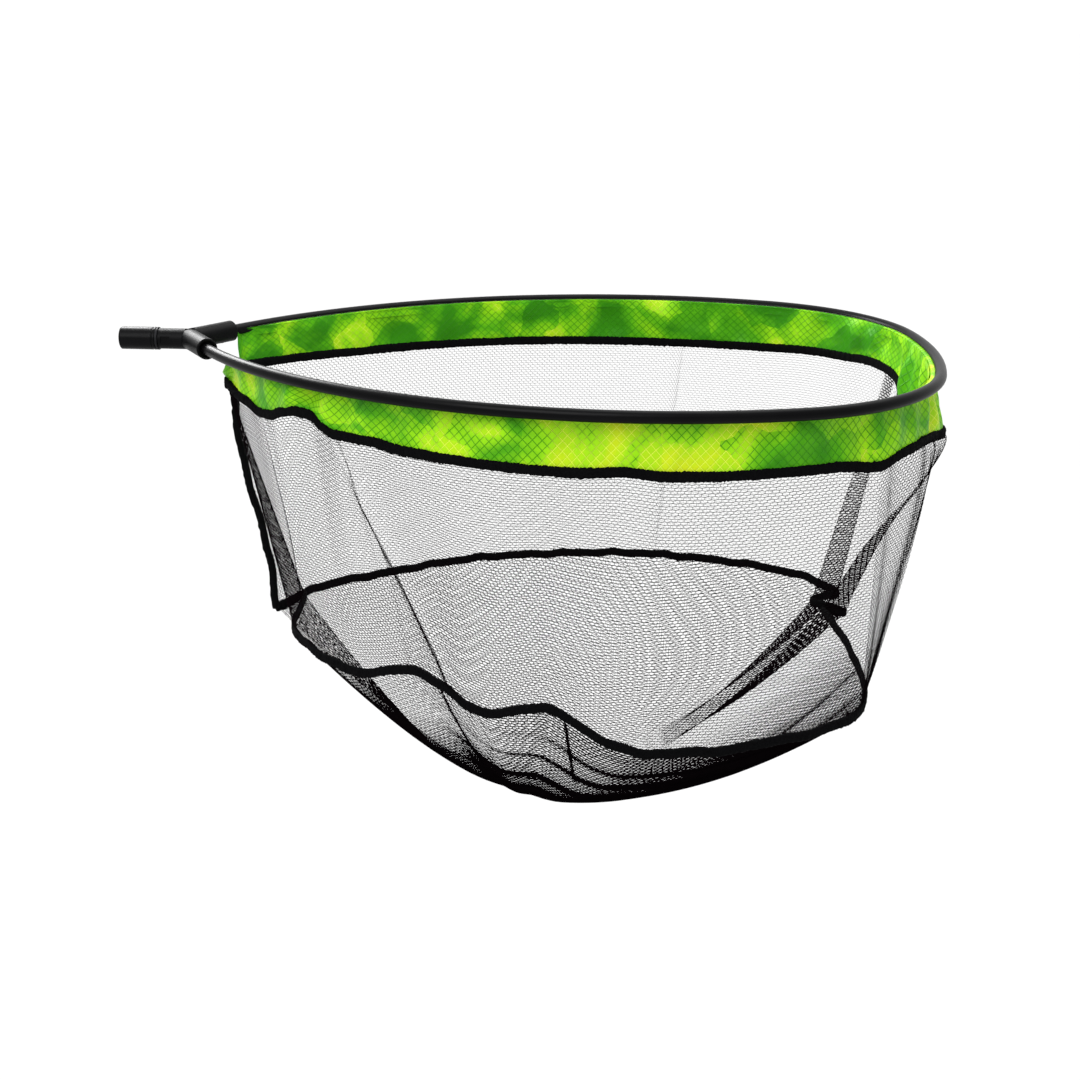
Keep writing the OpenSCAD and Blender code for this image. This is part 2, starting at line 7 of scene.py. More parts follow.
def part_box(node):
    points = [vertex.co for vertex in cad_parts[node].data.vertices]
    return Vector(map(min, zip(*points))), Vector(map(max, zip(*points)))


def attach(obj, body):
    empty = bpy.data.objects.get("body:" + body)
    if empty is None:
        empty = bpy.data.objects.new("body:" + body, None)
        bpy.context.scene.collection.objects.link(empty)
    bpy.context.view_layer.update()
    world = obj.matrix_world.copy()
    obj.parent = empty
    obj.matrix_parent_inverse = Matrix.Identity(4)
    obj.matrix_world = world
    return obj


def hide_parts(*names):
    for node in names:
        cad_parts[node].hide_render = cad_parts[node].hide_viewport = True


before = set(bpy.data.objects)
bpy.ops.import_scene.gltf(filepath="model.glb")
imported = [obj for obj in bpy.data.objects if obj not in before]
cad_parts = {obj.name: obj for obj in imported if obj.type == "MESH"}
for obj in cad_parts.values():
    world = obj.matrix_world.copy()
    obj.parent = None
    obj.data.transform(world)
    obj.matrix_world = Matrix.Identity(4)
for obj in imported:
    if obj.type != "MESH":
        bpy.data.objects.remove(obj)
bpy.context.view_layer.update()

bl_info = {
    "name": "Landing net head",
    "version": (1, 0, 0),
    "blender": (4, 5, 0),
    "location": "View3D > Sidebar > Landing net",
    "description": "Dresses the landing net head: hoop, yoke, fabric band, tapes and mesh bag",
    "category": "Object",
}

MM = 0.001
BODY = "head"

# Hoop in plan, as the tube is bent: X counts from the faces of the two sockets
TUBE_LOW, TUBE_HIGH = (np.array(corner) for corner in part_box("hoop_tube"))
TUBE_RADIUS = (TUBE_HIGH[2] - TUBE_LOW[2]) / 2
HALF_WIDTH = TUBE_HIGH[1] - TUBE_RADIUS
HOOP_LENGTH = 600 * MM
SOCKET_X = TUBE_HIGH[0] - TUBE_RADIUS - HOOP_LENGTH
SOCKET_SPREAD = 77 * MM
ARM_ANGLE = np.radians(56)
CORNER_RADIUS = 169 * MM
TIP_RADIUS = 405 * MM

# The band hangs this far inside the middle of the tube, and crosses in front of the yoke
BAND_INSET = 8.85 * MM
CROSS_X = 10 * MM
CROSS_RADIUS = 25 * MM
CROSS_SAG = 22 * MM
# Fractions of the way round where the crossing starts to sag, on the left and on the right, and how steeply
CROSS_ENDS = (0.022, 0.034)
CROSS_STEEPNESS = 6

# How far the band's top stands out of its line in plan, in millimetres, by the fraction of the way round from
# the middle of the crossing, along the left side to the tip and back along the right side
TOP_BULGES = ((0.0, 0), (0.012, 0), (0.020, 4), (0.026, 8), (0.034, 3), (0.045, 0), (1.0, 0))

# Height of the tape on the band's lower edge, in millimetres, by the same fraction
HEM_HEIGHTS = (
    (0.000, -46), (0.022, -31), (0.047, -32.5), (0.113, -36.5), (0.188, -38), (0.279, -39.5), (0.340, -39),
    (0.380, -36.5), (0.397, -36), (0.4235, -33.5), (0.4435, -35), (0.459, -41), (0.468, -50), (0.490, -54),
    (0.520, -50), (0.545, -46), (0.577, -40.5), (0.596, -42.5), (0.610, -48), (0.634, -44), (0.710, -46),
    (0.732, -43), (0.752, -45), (0.808, -43), (0.840, -41), (0.852, -38.5), (0.874, -38.5), (0.881, -33.5),
    (0.889, -26), (0.897, -25.5), (0.910, -30), (0.920, -36), (0.933, -37.5), (0.945, -33), (0.955, -31.5),
    (0.970, -28), (0.980, -28), (1.000, -46),
)

# How far the tape on the band's lower edge stands out past the line of the band's top, in millimetres
HEM_BULGES = (
    (0.00, 0), (0.03, 1), (0.40, 0), (0.455, 0), (0.475, -5), (0.50, 4), (0.545, 15), (0.56, 9), (0.60, 6),
    (0.64, 1), (0.80, 0), (0.865, 0), (0.89, 5), (0.905, 6), (0.93, 1), (0.955, 0), (0.982, -3), (1.00, 0),
)

# Route of the seam between wall and base, read from the photo with the fitted camera. Each row has the
# fraction of the way round the hem above it, then X, Y and Z in millimetres, then 1 where the cloth is folded
# back.
SEAM_ROUTE = (
    (0.000, 37, 0, -245, 0), (0.047, 60, 65, -250, 0), (0.113, 129, 132, -255, 0), (0.188, 225, 182, -255, 0),
    (0.279, 354, 202, -255, 0), (0.340, 440, 188, -255, 0), (0.395, 512, 158, -255, 0),
    (0.425, 538, 134, -256, 0), (0.452, 552, 112, -257, 1), (0.440, 526, 94, -258, 1),
    (0.570, 555, 70, -260, 1), (0.566, 535, 80, -261, 1), (0.572, 549, 0, -263, 0),
    (0.580, 554, -75, -266, 0), (0.592, 550, -107, -268, 0), (0.615, 533, -138, -270, 0),
    (0.634, 474, -174, -272, 0), (0.673, 421, -193, -274, 0), (0.708, 371, -201, -274, 0),
    (0.726, 346, -202, -267, 0), (0.752, 308, -201, -245, 0), (0.764, 293, -200, -238, 0),
    (0.789, 248, -190, -250, 0), (0.808, 230, -184, -245, 0), (0.822, 207, -177, -231, 0),
    (0.840, 188, -167, -226, 0), (0.862, 159, -152, -235, 0), (0.888, 128, -131, -244, 0),
    (0.912, 97, -103, -243, 0), (0.972, 60, -35, -245, 1), (0.976, 54, 34, -245, 1), (1.000, 37, 0, -245, 0),
)
# Fractions at which hem and seam stay in step; the threads are evenly spaced between them
SEAM_ANCHORS = (0.0, 0.113, 0.188, 0.279, 0.340, 0.615, 0.673, 0.726, 0.752, 0.789, 0.822, 1.0)

# How light the band is painted, by the fraction of the way round, as painted light and shade: darkest on the
# left side, in painted shade, and lightest at the tip and by the right arm, as painted light
PAINTED_LIGHT_LEVELS = (
    (0.0, 0.4), (0.03, 0.1), (0.25, 0.1), (0.42, 0.15), (0.48, 0.9), (0.56, 1.0), (0.64, 0.85), (0.88, 0.75),
    (0.94, 1.0), (1.0, 1.0),
)
# How much that run of painted light and shade, and the step of painted light and shade from facet to facet,
# add to the soft dye patches
PAINTED_LIGHT_RUN = 0.15
FACET_PAINTED_SHADE = 0.16
# Band cloth: from the middle of a grid line to where it starts to fade and to its edge
GRID_LINE_CORE = 0.12 * MM
GRID_LINE_EDGE = 0.45 * MM
# Sizes of its dye patches, its facets, the waves of their edges and how far these bend, and its small
# crumples
PATCH_SIZE = 55 * MM
FACET_SIZE = 34 * MM
FACET_WAVE = 16 * MM
FACET_BEND = 12 * MM
CRUMPLE_SIZE = 9 * MM

# The band: its height to the middle of the tape, and how far its top lies over the middle of the tube
BAND_HEIGHT = 42 * MM
BAND_TOP = 0.6 * MM
# Under 1, the folds are as deep over more of its height
BAND_BELLY = 0.8
# Folds of the band: waves round the loop, and how far they stand out in millimetres
BAND_WAVES = ((9, 1.6), (15, 1.3), (23, 1.1), (37, 0.7), (58, 0.4))
# Tighter folds: middle and spread as shares of the way round, then the same
BAND_GATHERS = ((0.52, 0.07, 70, 3.2), (0.89, 0.05, 44, 2.8), (0.44, 0.03, 60, 1.8))
# Most that a wave and a gather turn on their way down, in radians, and the seed of their draws
WAVE_SLANT = 2.5
GATHER_SLANT = 3
BAND_SEED = 11
# One pleat by the tip, on the left
PLEAT_PLACE = 0.478
PLEAT_WIDTH = 0.007
PLEAT_DEPTH = 11 * MM
# Section of the sleeve's lip: how far out of the band's line and how high, in millimetres
SLEEVE_SECTION = ((5.4, 0.35), (3.2, 0.4), (1.5, 0.2), (0.75, -0.5), (0.55, -2.0), (0.5, -6.4))
# It runs between these fractions of the way round, clear of the crossing
SLEEVE_ENDS = (1.2 * CROSS_ENDS[0], 1 - CROSS_ENDS[1])
# Points of the band round the loop and down, of the sleeve, of the hem and of the edge of the flat base
BAND_COLUMNS = 1800
BAND_ROWS = 15
SLEEVE_POINTS = 900
HEM_POINTS = 1400
EDGE_POINTS = 2000

# The tape on the base seam ripples: waves round the seam, height in millimetres and start in radians
TAPE_RIPPLES = ((31, 0.6, 0), (53, 0.4, 1))
# The upright tape lies behind the wall, bows along once and waves across; it is thicker than the others
SEAM_TAPE_BACK = 1.2 * MM
SEAM_TAPE_BOW = 3 * MM
SEAM_TAPE_WAVE = 2 * MM
SEAM_TAPE_WAVES = 4
SEAM_TAPE_THICKER = 1.5

# Lowest point of the base, and how round the sag is towards the handle and towards the tip
SAG_X = 265 * MM
SAG_Z = -415 * MM
SAG_POWERS = (1.4, 1.96)
# Inside this share of the way from the lowest point to the seam, the tucks are opened out
TUCK_REACH = 0.45

# Creases of the wall: place round the wall at the hem and at the seam, width as a share of the way round, how
# far the cloth stands out in millimetres, and how much thicker its threads look there, seen edge on
WALL_CREASES = (
    (0.876, 0.811, 0.0034, 6, 1.0),
    (0.866, 0.842, 0.0022, 2, 0.4),
    (0.930, 0.905, 0.0022, 4, 0.2),
    (0.300, 0.296, 0.0030, 3, 0.2),
    (0.578, 0.582, 0.0045, 4, 0.7),
    (0.612, 0.606, 0.0030, 3, 0.2),
)
# The wall's slack at the tip, which bulges past the straight line from hem to seam
TIP_SLACK = 15 * MM
TIP_SLACK_PLACE = 0.56
TIP_SLACK_SPREAD = 0.03
# Under 1, the slack bulges more near the hem than near the seam
SLACK_RISE = 0.5
# Depth of a thread as a share of its width, so that it shows from every side
THREAD_DEPTH = 0.35
# How much thicker the threads look where the cloth is folded back and bunched, in the wall and in the base
FOLDED_BACK = 1.3
BASE_FOLDED_BACK = 0.6 * FOLDED_BACK
# How the threads' wide strips lie: across, up and off the cloth
WALL_LEAN = (0.42, 0.62, -0.66)
BASE_LEAN = (0.35, 0.75, 0.1)
# The near side of the base lies in layers, so its threads look thicker by this much, fully so this far off
# the middle
LAYERS = 1.8
LAYERS_FROM = 60 * MM
# By the handle and near the seam it is a single layer, which takes away this much of that. It fades out
# towards the tip and ends this far past the lowest point, and it fades in from this share of the way to
# the seam.
SINGLE = 1.7
SINGLE_END = 91 * MM
SINGLE_FADE = 130 * MM
SINGLE_SEAM_START = 0.6
SINGLE_SEAM_FADE = 0.2

# Folds of the flat base, in millimetres from its lowest point: place along and across of the fold's middle,
# half its length, its width, and how far it runs across for each thousand along
BASE_FOLDS = (
    (60, -36, 150, 4.0, 100), (120, -58, 110, 5.0, 20), (150, -76, 150, 4.0, 120), (50, -92, 100, 4.0, -30),
    (120, -108, 160, 5.0, 80), (30, -122, 90, 3.5, 10), (140, -136, 130, 4.0, 100), (50, -150, 110, 4.0, 30),
    (110, -168, 120, 4.0, 70),
)
# Lines along which the stitching pulls the base, in millimetres from its lowest point: from the seam inwards
BASE_PULLS = (((-58, -177), (-30, -105)), ((44, -202), (50, -140)))
PULL_WIDTH = 2.4 * MM
# How much of the cloth beside a fold or a crease is drawn into it
BASE_FOLD_PINCH = 0.5
CREASE_PINCH = 0.75
# How far that drawing in goes, in widths of the crease
CREASE_REACH = 3
# Under 1, a crease keeps its height until close to the hem and the seam, which hold the cloth flat
CREASE_HOLD = 0.5
# How much thicker the threads look in a fold and in a pull of the base
BASE_FOLD_SHADE = 0.2
PULL_SHADE = 1.4

# Camera fitted to the hoop in the photo: place from the sockets, turn, tilt and roll, and the lens
CAMERA_PLACE = (363.2 * MM, -1250 * MM, 270.2 * MM)
CAMERA_YAW = np.radians(-4.041)
CAMERA_PITCH = np.radians(19.465)
CAMERA_ROLL = np.radians(0.362)
CAMERA_LENS = 50.39
CAMERA_SENSOR = 36

# Studio: how bright the light from all round is in the middle, and how much more from behind and from above
SKY_MIDDLE = 0.84
SKY_BEHIND = 0.36
SKY_ABOVE = 0.35
# Height of the point that the soft boxes face, under the middle of the hoop
LIGHT_AIM_Z = -100 * MM
# Soft boxes: name, place from that point and side in metres, and power in watts
SOFT_BOXES = (
    ("front_box", (-0.5, -1.2, 1.1), 1.0, 20),
    ("top_box", (0.3, 0.4, 1.3), 1.2, 12),
    ("rim_box", (-0.75, 0.6, 0.63), 0.45, 16),
)


def linear(code):
    """Linear colour from an sRGB hex code."""
    shades = [int(code[k:k + 2], 16) / 255 for k in (1, 3, 5)]
    return [s / 12.92 if s <= 0.04045 else ((s + 0.055) / 1.055) ** 2.4 for s in shades]


def length_property(name, description, millimetres):
    """A length that a user may change, shown in scene units."""
    return FloatProperty(name=name, description=description, default=millimetres * MM, unit="LENGTH",
                         precision=4)


def colour_property(name, description, code):
    """A colour that a user may change."""
    return FloatVectorProperty(name=name, description=description, default=linear(code), subtype="COLOR",
                               min=0, max=1)


class LandingNetSizes(bpy.types.PropertyGroup):
    """Sizes of the sewn net."""

    cell_width: length_property("Cell width", "Width of a cell of the knitted mesh", 4.5)
    cell_row: length_property("Cell row", "Height from one row of cells to the next", 2.3)
    wall_thread: length_property("Wall thread", "Width of the thread in the wall, twisted flat", 0.5)
    base_thread: length_property("Base thread", "Width of the thread in the base, twisted flat", 0.85)
    tape_height: length_property("Tape height", "Height of the binding tape", 8.0)
    tape_thickness: length_property("Tape thickness", "Thickness of the binding tape with what it holds", 3.8)
    seam_width: length_property("Seam width", "Width of the tape on the upright seam", 8.0)
    ripstop_square: length_property("Ripstop square", "Side of a square in the band's ripstop grid", 5.0)


class LandingNetColours(bpy.types.PropertyGroup):
    """Colours of the net and its fittings."""

    lime: colour_property("Lime", "Main colour of the band", "#8acc0c")
    green: colour_property("Green", "Mottling of the band", "#4c9e06")
    shade: colour_property("Dark green", "Darkest mottling of the band", "#2c7a02")
    glow: colour_property("Yellow green", "Lightest mottling of the band", "#bfd016")
    grid_thread: colour_property("Grid thread", "Lighter threads of the band's grid", "#d6ea4a")
    tape: colour_property("Tape", "Woven binding tape", "#050506")
    mesh: colour_property("Mesh", "Knitted mesh", "#0b0709")
    tube: colour_property("Tube", "Anodised hoop tube", "#060607")
    plastic: colour_property("Plastic", "Moulded yoke", "#060607")
    floor: colour_property("Floor", "Studio floor", "#fbfbfb")


def heading(vector):
    """Direction of a plan vector, in radians."""
    return np.arctan2(vector[1], vector[0])


def hoop_plan():
    """Radius of the long sides, and the centres of the side, corner and tip arcs on the left."""
    side_radius = (HALF_WIDTH - SOCKET_SPREAD / 2) / (1 - np.cos(ARM_ANGLE))
    side = np.array([side_radius * np.sin(ARM_ANGLE), HALF_WIDTH - side_radius])
    tip = np.array([HOOP_LENGTH - TIP_RADIUS, 0.0])
    side_to_corner = side_radius - CORNER_RADIUS
    tip_to_corner = TIP_RADIUS - CORNER_RADIUS
    apart = np.linalg.norm(tip - side)
    ahead = (tip - side) / apart
    along = (side_to_corner ** 2 - tip_to_corner ** 2 + apart ** 2) / (2 * apart)
    across = np.sqrt(side_to_corner ** 2 - along ** 2)
    return side_radius, side, side + along * ahead + across * np.array([ahead[1], -ahead[0]]), tip


def arc(centre, radius, start, end, steps=300):
    """Points of an arc and their outward normals, without the last point."""
    turn = np.linspace(start, end, steps, endpoint=False)
    out = np.stack([np.cos(turn), np.sin(turn)], axis=1)
    return centre + radius * out, out


def band_loop(inset):
    """The band's line in plan, from the crossing: fractions of the way round, points, normals and length."""
    side_radius, side, corner, tip = hoop_plan()
    reach = side_radius - inset - CROSS_RADIUS
    turn_x = CROSS_X + CROSS_RADIUS
    cross = np.array([turn_x, side[1] + np.sqrt(reach ** 2 - (turn_x - side[0]) ** 2)])
    y = np.linspace(0, cross[1], 40, endpoint=False)
    pieces = [
        (np.stack([np.full_like(y, CROSS_X), y], axis=1), np.tile([-1.0, 0.0], (len(y), 1))),
        arc(cross, CROSS_RADIUS, np.pi, heading(cross - side)),
        arc(side, side_radius - inset, heading(cross - side), heading(corner - side)),
        arc(corner, CORNER_RADIUS - inset, heading(corner - side), heading(corner - tip)),
        arc(tip, TIP_RADIUS - inset, heading(corner - tip), 0),
        (np.array([[HOOP_LENGTH - inset, 0.0]]), np.array([[1.0, 0.0]])),
    ]
    points = np.concatenate([piece[0] for piece in pieces])
    normals = np.concatenate([piece[1] for piece in pieces])
    flip = np.array([1, -1])
    points = np.concatenate([points, points[-2::-1] * flip])
    normals = np.concatenate([normals, normals[-2::-1] * flip])
    length = np.concatenate([[0], np.cumsum(np.linalg.norm(np.diff(points, axis=0), axis=1))])
    return length / length[-1], points, normals, length[-1]


BAND_FRACTION, BAND_POINTS, BAND_NORMALS, BAND_LENGTH = band_loop(BAND_INSET)


def on_loop(fraction, values):
    """Values along the band's line at fractions of the way round."""
    return np.stack([np.interp(fraction % 1.0, BAND_FRACTION, column) for column in values.T], axis=-1)


def smooth_through(knots, values, where):
    """A smooth curve through the values at the knots that never swings past them."""
    knots = np.asarray(knots, float)
    values = np.asarray(values, float).reshape(len(knots), -1)
    step = np.diff(knots)[:, None]
    slope = np.diff(values, axis=0) / step
    rising = slope[:-1] * slope[1:] > 0
    mean = 2 * slope[:-1] * slope[1:] / np.where(rising, slope[:-1] + slope[1:], 1)
    tangent = np.concatenate([slope[:1], np.where(rising, mean, 0), slope[-1:]])
    piece = np.clip(np.searchsorted(knots, where, side="right") - 1, 0, len(step) - 1)
    width = step[piece]
    t = (np.asarray(where)[:, None] - knots[piece][:, None]) / width
    start = (2 * t ** 3 - 3 * t ** 2 + 1) * values[piece] + (t ** 3 - 2 * t ** 2 + t) * width * tangent[piece]
    end = (3 * t ** 2 - 2 * t ** 3) * values[piece + 1] + (t ** 3 - t ** 2) * width * tangent[piece + 1]
    return start + end


def by_fraction(table, fraction):
    """Values of a table of fractions and millimetres, in metres."""
    rows = np.array(table)
    return smooth_through(rows[:, 0], rows[:, 1] * MM, fraction % 1.0)[:, 0]


def hem_line(fraction):
    """Middle of the tape on the band's lower edge."""
    plan = on_loop(fraction, BAND_POINTS)
    plan = plan + on_loop(fraction, BAND_NORMALS) * by_fraction(HEM_BULGES, fraction)[:, None]
    return np.column_stack([plan, by_fraction(HEM_HEIGHTS, fraction)])


def seam_samples(count=5000, tip_joined=False):
    """Matching points along hem and seam, the seam with its tucks opened, places along it of the samples and
    of the anchors, and 1 where the cloth is folded back. The two tucks at the tip, the first of the route,
    may count as one wide fold."""
    rows = np.array(SEAM_ROUTE)
    step = np.linalg.norm(np.diff(rows[:, 1:4], axis=0), axis=1)
    along = np.concatenate([[0], np.cumsum(step)])
    where = np.linspace(0, along[-1], count)
    hem = hem_line(np.minimum(smooth_through(along, rows[:, 0], where)[:, 0], 1 - 1e-9))
    seam = smooth_through(along, rows[:, 1:4] * MM, where)
    flat = rows[:, 4] == 0
    opened = smooth_through(along[flat], rows[flat, 1:4] * MM, where)
    anchors = np.array([along[np.flatnonzero(rows[:, 0] == a)[0]] for a in SEAM_ANCHORS])
    tucks = along[~flat].reshape(-1, 2)
    if tip_joined:
        tucks[1, 0] = tucks[0, 0]
    doubled = ((where[:, None] > tucks[:, 0]) & (where[:, None] < tucks[:, 1])).any(axis=1)
    return hem, seam, opened, where, anchors, doubled.astype(float)


def thread_places(curve, where, anchors):
    """Place of each sample round the cloth, from 0 to 1; threads are evenly spaced between the anchors."""
    length = np.concatenate([[0], np.cumsum(np.linalg.norm(np.diff(curve, axis=0), axis=1))])
    return np.interp(length, np.interp(anchors, where, length), SEAM_ANCHORS)


def even_curve(curve, where, anchors, around, doubled):
    """The curve at even places round the cloth, and a fourth column, 1 where the cloth is folded back."""
    place = thread_places(curve, where, anchors)
    return np.stack([np.interp(around, place, column) for column in (*curve.T, doubled)], axis=1)


def wall_grid(levels=60, columns=3600):
    """Points of the wall from the hem down to the seam, each row at even places round the cloth."""
    hem, seam, _, where, anchors, doubled = seam_samples()
    around = np.linspace(0, 1, columns)
    depth = np.linspace(0, 1, levels)
    grid = np.array([even_curve((1 - v) * hem + v * seam, where, anchors, around, doubled) for v in depth])
    grid[..., :3] += wall_creases(grid[..., :3], around, depth)
    slack = np.exp(-((around - TIP_SLACK_PLACE) / TIP_SLACK_SPREAD) ** 2)
    grid[..., 0] += TIP_SLACK * slack * np.sin(np.pi * depth[:, None] ** SLACK_RISE)
    return grid


def wall_creases(grid, around, depth):
    """Offsets of the creases, which stand out of the wall between hem and seam."""
    out = np.zeros(grid.shape[:2])
    for top, bottom, width, height, _ in WALL_CREASES:
        middle = top + (bottom - top) * depth[:, None]
        out += height * MM * np.exp(-np.abs(around[None, :] - middle) / width)
    hold = np.sin(np.pi * depth) ** CREASE_HOLD
    return surface_normals(grid) * (out * hold[:, None])[..., None]


def drawn_in(away, width):
    """How far cloth at a distance from a fold moves towards it; the cloth past the fold's reach stays."""
    reach = 10 * width
    return width * (np.tanh(away / width) - np.clip(away / reach, -1, 1))


def creased(around, depth):
    """Places round the wall, drawn into its creases, and how much thicker threads look there."""
    moved = around.copy()
    thicker = np.ones_like(around)
    for top, bottom, width, _, weight in WALL_CREASES:
        away = (around - top - (bottom - top) * depth + 0.5) % 1.0 - 0.5
        moved -= CREASE_PINCH * drawn_in(away, CREASE_REACH * width)
        thicker += weight * np.exp(-(away / width) ** 2)
    return moved, thicker


def folded(flat):
    """Places on the flat base, drawn into its folds and pulls, and how much thicker threads look there."""
    moved = flat.copy()
    thicker = np.ones(len(flat))
    for along, across, half, width, slope in np.array(BASE_FOLDS) * MM:
        away = flat[:, 1] - across - slope * (flat[:, 0] - along)
        near = np.exp(-((flat[:, 0] - along) / half) ** 4)
        moved[:, 1] -= BASE_FOLD_PINCH * near * drawn_in(away, width)
        thicker += BASE_FOLD_SHADE * near * np.exp(-(2 * away / width) ** 2)
    for start, end in np.array(BASE_PULLS) * MM:
        length = np.linalg.norm(end - start)
        along = (end - start) / length
        across = np.array([-along[1], along[0]])
        away = (flat - start) @ across
        near = np.exp(-(2 * ((flat - start) @ along) / length - 1) ** 8)
        moved -= np.outer(CREASE_PINCH * near * drawn_in(away, CREASE_REACH * PULL_WIDTH), across)
        thicker += PULL_SHADE * near * np.exp(-(away / PULL_WIDTH) ** 2)
    return moved, thicker


def surface_normals(grid):
    """Unit normals of a grid of points."""
    across = np.gradient(grid, axis=1)
    down = np.gradient(grid, axis=0)
    normal = np.cross(across, down)
    return normal / np.maximum(np.linalg.norm(normal, axis=-1, keepdims=True), 1e-12)


def base_grid(rings=60, columns=2400):
    """Points of the base from its lowest point out to the seam."""
    _, seam, opened, where, anchors, doubled = seam_samples(tip_joined=True)
    lowest = np.array([SAG_X, 0.0, SAG_Z])
    around = np.linspace(0, 1, columns)
    smooth = even_curve(opened, where, anchors, around, doubled)[:, :3]
    tucked = even_curve(seam, where, anchors, around, doubled)
    doubled = tucked[:, 3]
    power = SAG_POWERS[0] + (SAG_POWERS[1] - SAG_POWERS[0]) * smooth[:, 0] / HOOP_LENGTH
    grid = []
    for r in np.linspace(0, 1, rings):
        reach = np.column_stack([np.full(columns, r), np.full(columns, r), r ** power])
        tuck = np.clip((r - TUCK_REACH) / (1 - TUCK_REACH), 0, 1)
        points = lowest + (smooth - lowest) * reach + (tucked[:, :3] - smooth) * tuck
        grid.append(np.column_stack([points, doubled * np.ceil(tuck)]))
    return np.array(grid)


def on_grid(grid, across, down):
    """Points of a grid between its own points; across wraps round, both run from 0 to 1."""
    rows, columns = grid.shape[:2]
    x = (across % 1.0) * (columns - 1)
    y = np.clip(down, 0, 1) * (rows - 1)
    i = np.minimum(x.astype(int), columns - 2)
    j = np.minimum(y.astype(int), rows - 2)
    s = (x - i)[:, None]
    t = (y - j)[:, None]
    upper = grid[j, i] * (1 - s) + grid[j, i + 1] * s
    lower = grid[j + 1, i] * (1 - s) + grid[j + 1, i + 1] * s
    return upper * (1 - t) + lower * t


def honeycomb(columns, rows, closed):
    """Knots and threads of a knitted mesh, in cells across and rows up. Each thread joins two knots."""
    top_knot = 0.62
    side_knot = 1 - top_knot
    j, i = np.mgrid[0:rows, 0:columns]
    odd = j % 2
    knots = np.empty((rows, columns, 2, 2))
    knots[..., 0, 0] = i + 0.5 * odd
    knots[..., 0, 1] = j + top_knot
    knots[..., 1, 0] = i + 0.5 + 0.5 * odd
    knots[..., 1, 1] = j + side_knot
    top = (j * columns + i) * 2
    side = top + 1
    below = ((j - 1) * columns + (i + odd) % columns) * 2
    threads = [
        (top, side, np.ones_like(top, bool)),
        (top, (j * columns + (i - 1) % columns) * 2 + 1, closed | (i > 0)),
        (side, below, (j > 0) & (closed | (i + odd < columns))),
    ]
    pairs = np.concatenate([np.stack([a[keep], b[keep]], axis=1) for a, b, keep in threads])
    return knots.reshape(-1, 2), pairs


def knitted_net(name, place, knots, threads, thread, lean, material):
    """A mesh of threads, each of two crossed strips. The lean gives the wide strip's way across, up and off
    the cloth."""
    small = 0.02
    middle = place(knots)
    across = place(knots + [small, 0]) - middle
    across /= np.linalg.norm(across, axis=1, keepdims=True)
    up = place(knots + [0, small]) - middle
    up -= across * (up * across).sum(axis=1, keepdims=True)
    up /= np.linalg.norm(up, axis=1, keepdims=True)
    off = np.cross(up, across)
    corner = lean[0] * across + lean[1] * up + lean[2] * off
    corner *= np.reshape(thread, (-1, 1)) / 2 / np.linalg.norm(lean)
    side = THREAD_DEPTH * np.cross(across, corner)
    points = np.stack([middle + corner, middle - corner, middle + side, middle - side], axis=1).reshape(-1, 3)
    start, end = 4 * threads.T
    strip = np.stack([start, end, end + 1, start + 1], axis=1)
    quads = np.concatenate([strip, strip + 2])
    used, quads = np.unique(quads, return_inverse=True)
    return make_piece(name, points[used], quads.reshape(-1, 4).tolist(), material, smooth=False)


def make_piece(name, points, faces, material, smooth=True, uv=None):
    """A mesh object from points in the hoop's frame, with one material and its own texture coordinates."""
    mesh = bpy.data.meshes.new(name)
    points = np.asarray(points, float) + [SOCKET_X, 0, 0]
    mesh.from_pydata(points.tolist(), [], faces)
    mesh.polygons.foreach_set("use_smooth", [smooth] * len(mesh.polygons))
    if uv is not None:
        layer = mesh.uv_layers.new(name="Cloth")
        corner = np.empty(len(mesh.loops), int)
        mesh.loops.foreach_get("vertex_index", corner)
        layer.data.foreach_set("uv", np.asarray(uv)[corner].ravel())
    mesh.materials.append(material)
    mesh.update()
    piece = bpy.data.objects.new(name, mesh)
    bpy.context.scene.collection.objects.link(piece)
    return piece


def grid_faces(rows, columns, closed):
    """Quads of a grid of points, whose columns may close into a ring."""
    j, i = np.mgrid[0:rows - 1, 0:columns if closed else columns - 1]
    after = (i + 1) % columns
    row, below = j * columns, (j + 1) * columns
    return np.stack([row + i, below + i, below + after, row + after], axis=-1).reshape(-1, 4).tolist()


def sweep_tape(name, path, out, up, width, thickness, material, closed=True):
    """A folded tape along a path. Its section is a flattened oval, and its surface is a little fuzzy."""
    sides = 14
    fuzz = 0.3 * MM
    fuzz_seed = 4
    squareness = 0.6
    turn = np.linspace(0, 2 * np.pi, sides, endpoint=False)
    flat = np.sign(np.cos(turn)) * np.abs(np.cos(turn)) ** squareness
    tall = np.sign(np.sin(turn)) * np.abs(np.sin(turn)) ** squareness
    rough = np.random.default_rng(fuzz_seed).normal(0, fuzz, (len(path), sides))
    flat = flat * thickness / 2 + rough * np.cos(turn)
    tall = tall * width / 2 + rough * np.sin(turn)
    rings = path[:, None] + flat[..., None] * out[:, None] + tall[..., None] * up[:, None]
    faces = grid_faces(len(path), sides, True)
    if closed:
        last = (len(path) - 1) * sides
        faces += [[last + k, k, (k + 1) % sides, last + (k + 1) % sides] for k in range(sides)]
    else:
        faces += [list(range(sides)), list(range(len(path) * sides - 1, (len(path) - 1) * sides - 1, -1))]
    return make_piece(name, rings.reshape(-1, 3), faces, material)


def side_vectors(path, up):
    """Horizontal vectors that point out of a closed path that runs clockwise seen from above."""
    ahead = np.roll(path, -1, axis=0) - np.roll(path, 1, axis=0)
    out = np.cross(up, ahead)
    return out / np.maximum(np.linalg.norm(out, axis=1, keepdims=True), 1e-12)


def set_piece(piece, slot, *nodes):
    """The piece moves with the head and stands for the CAD nodes, which it hides; the slot is not used."""
    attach(piece, BODY)
    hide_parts(*nodes)


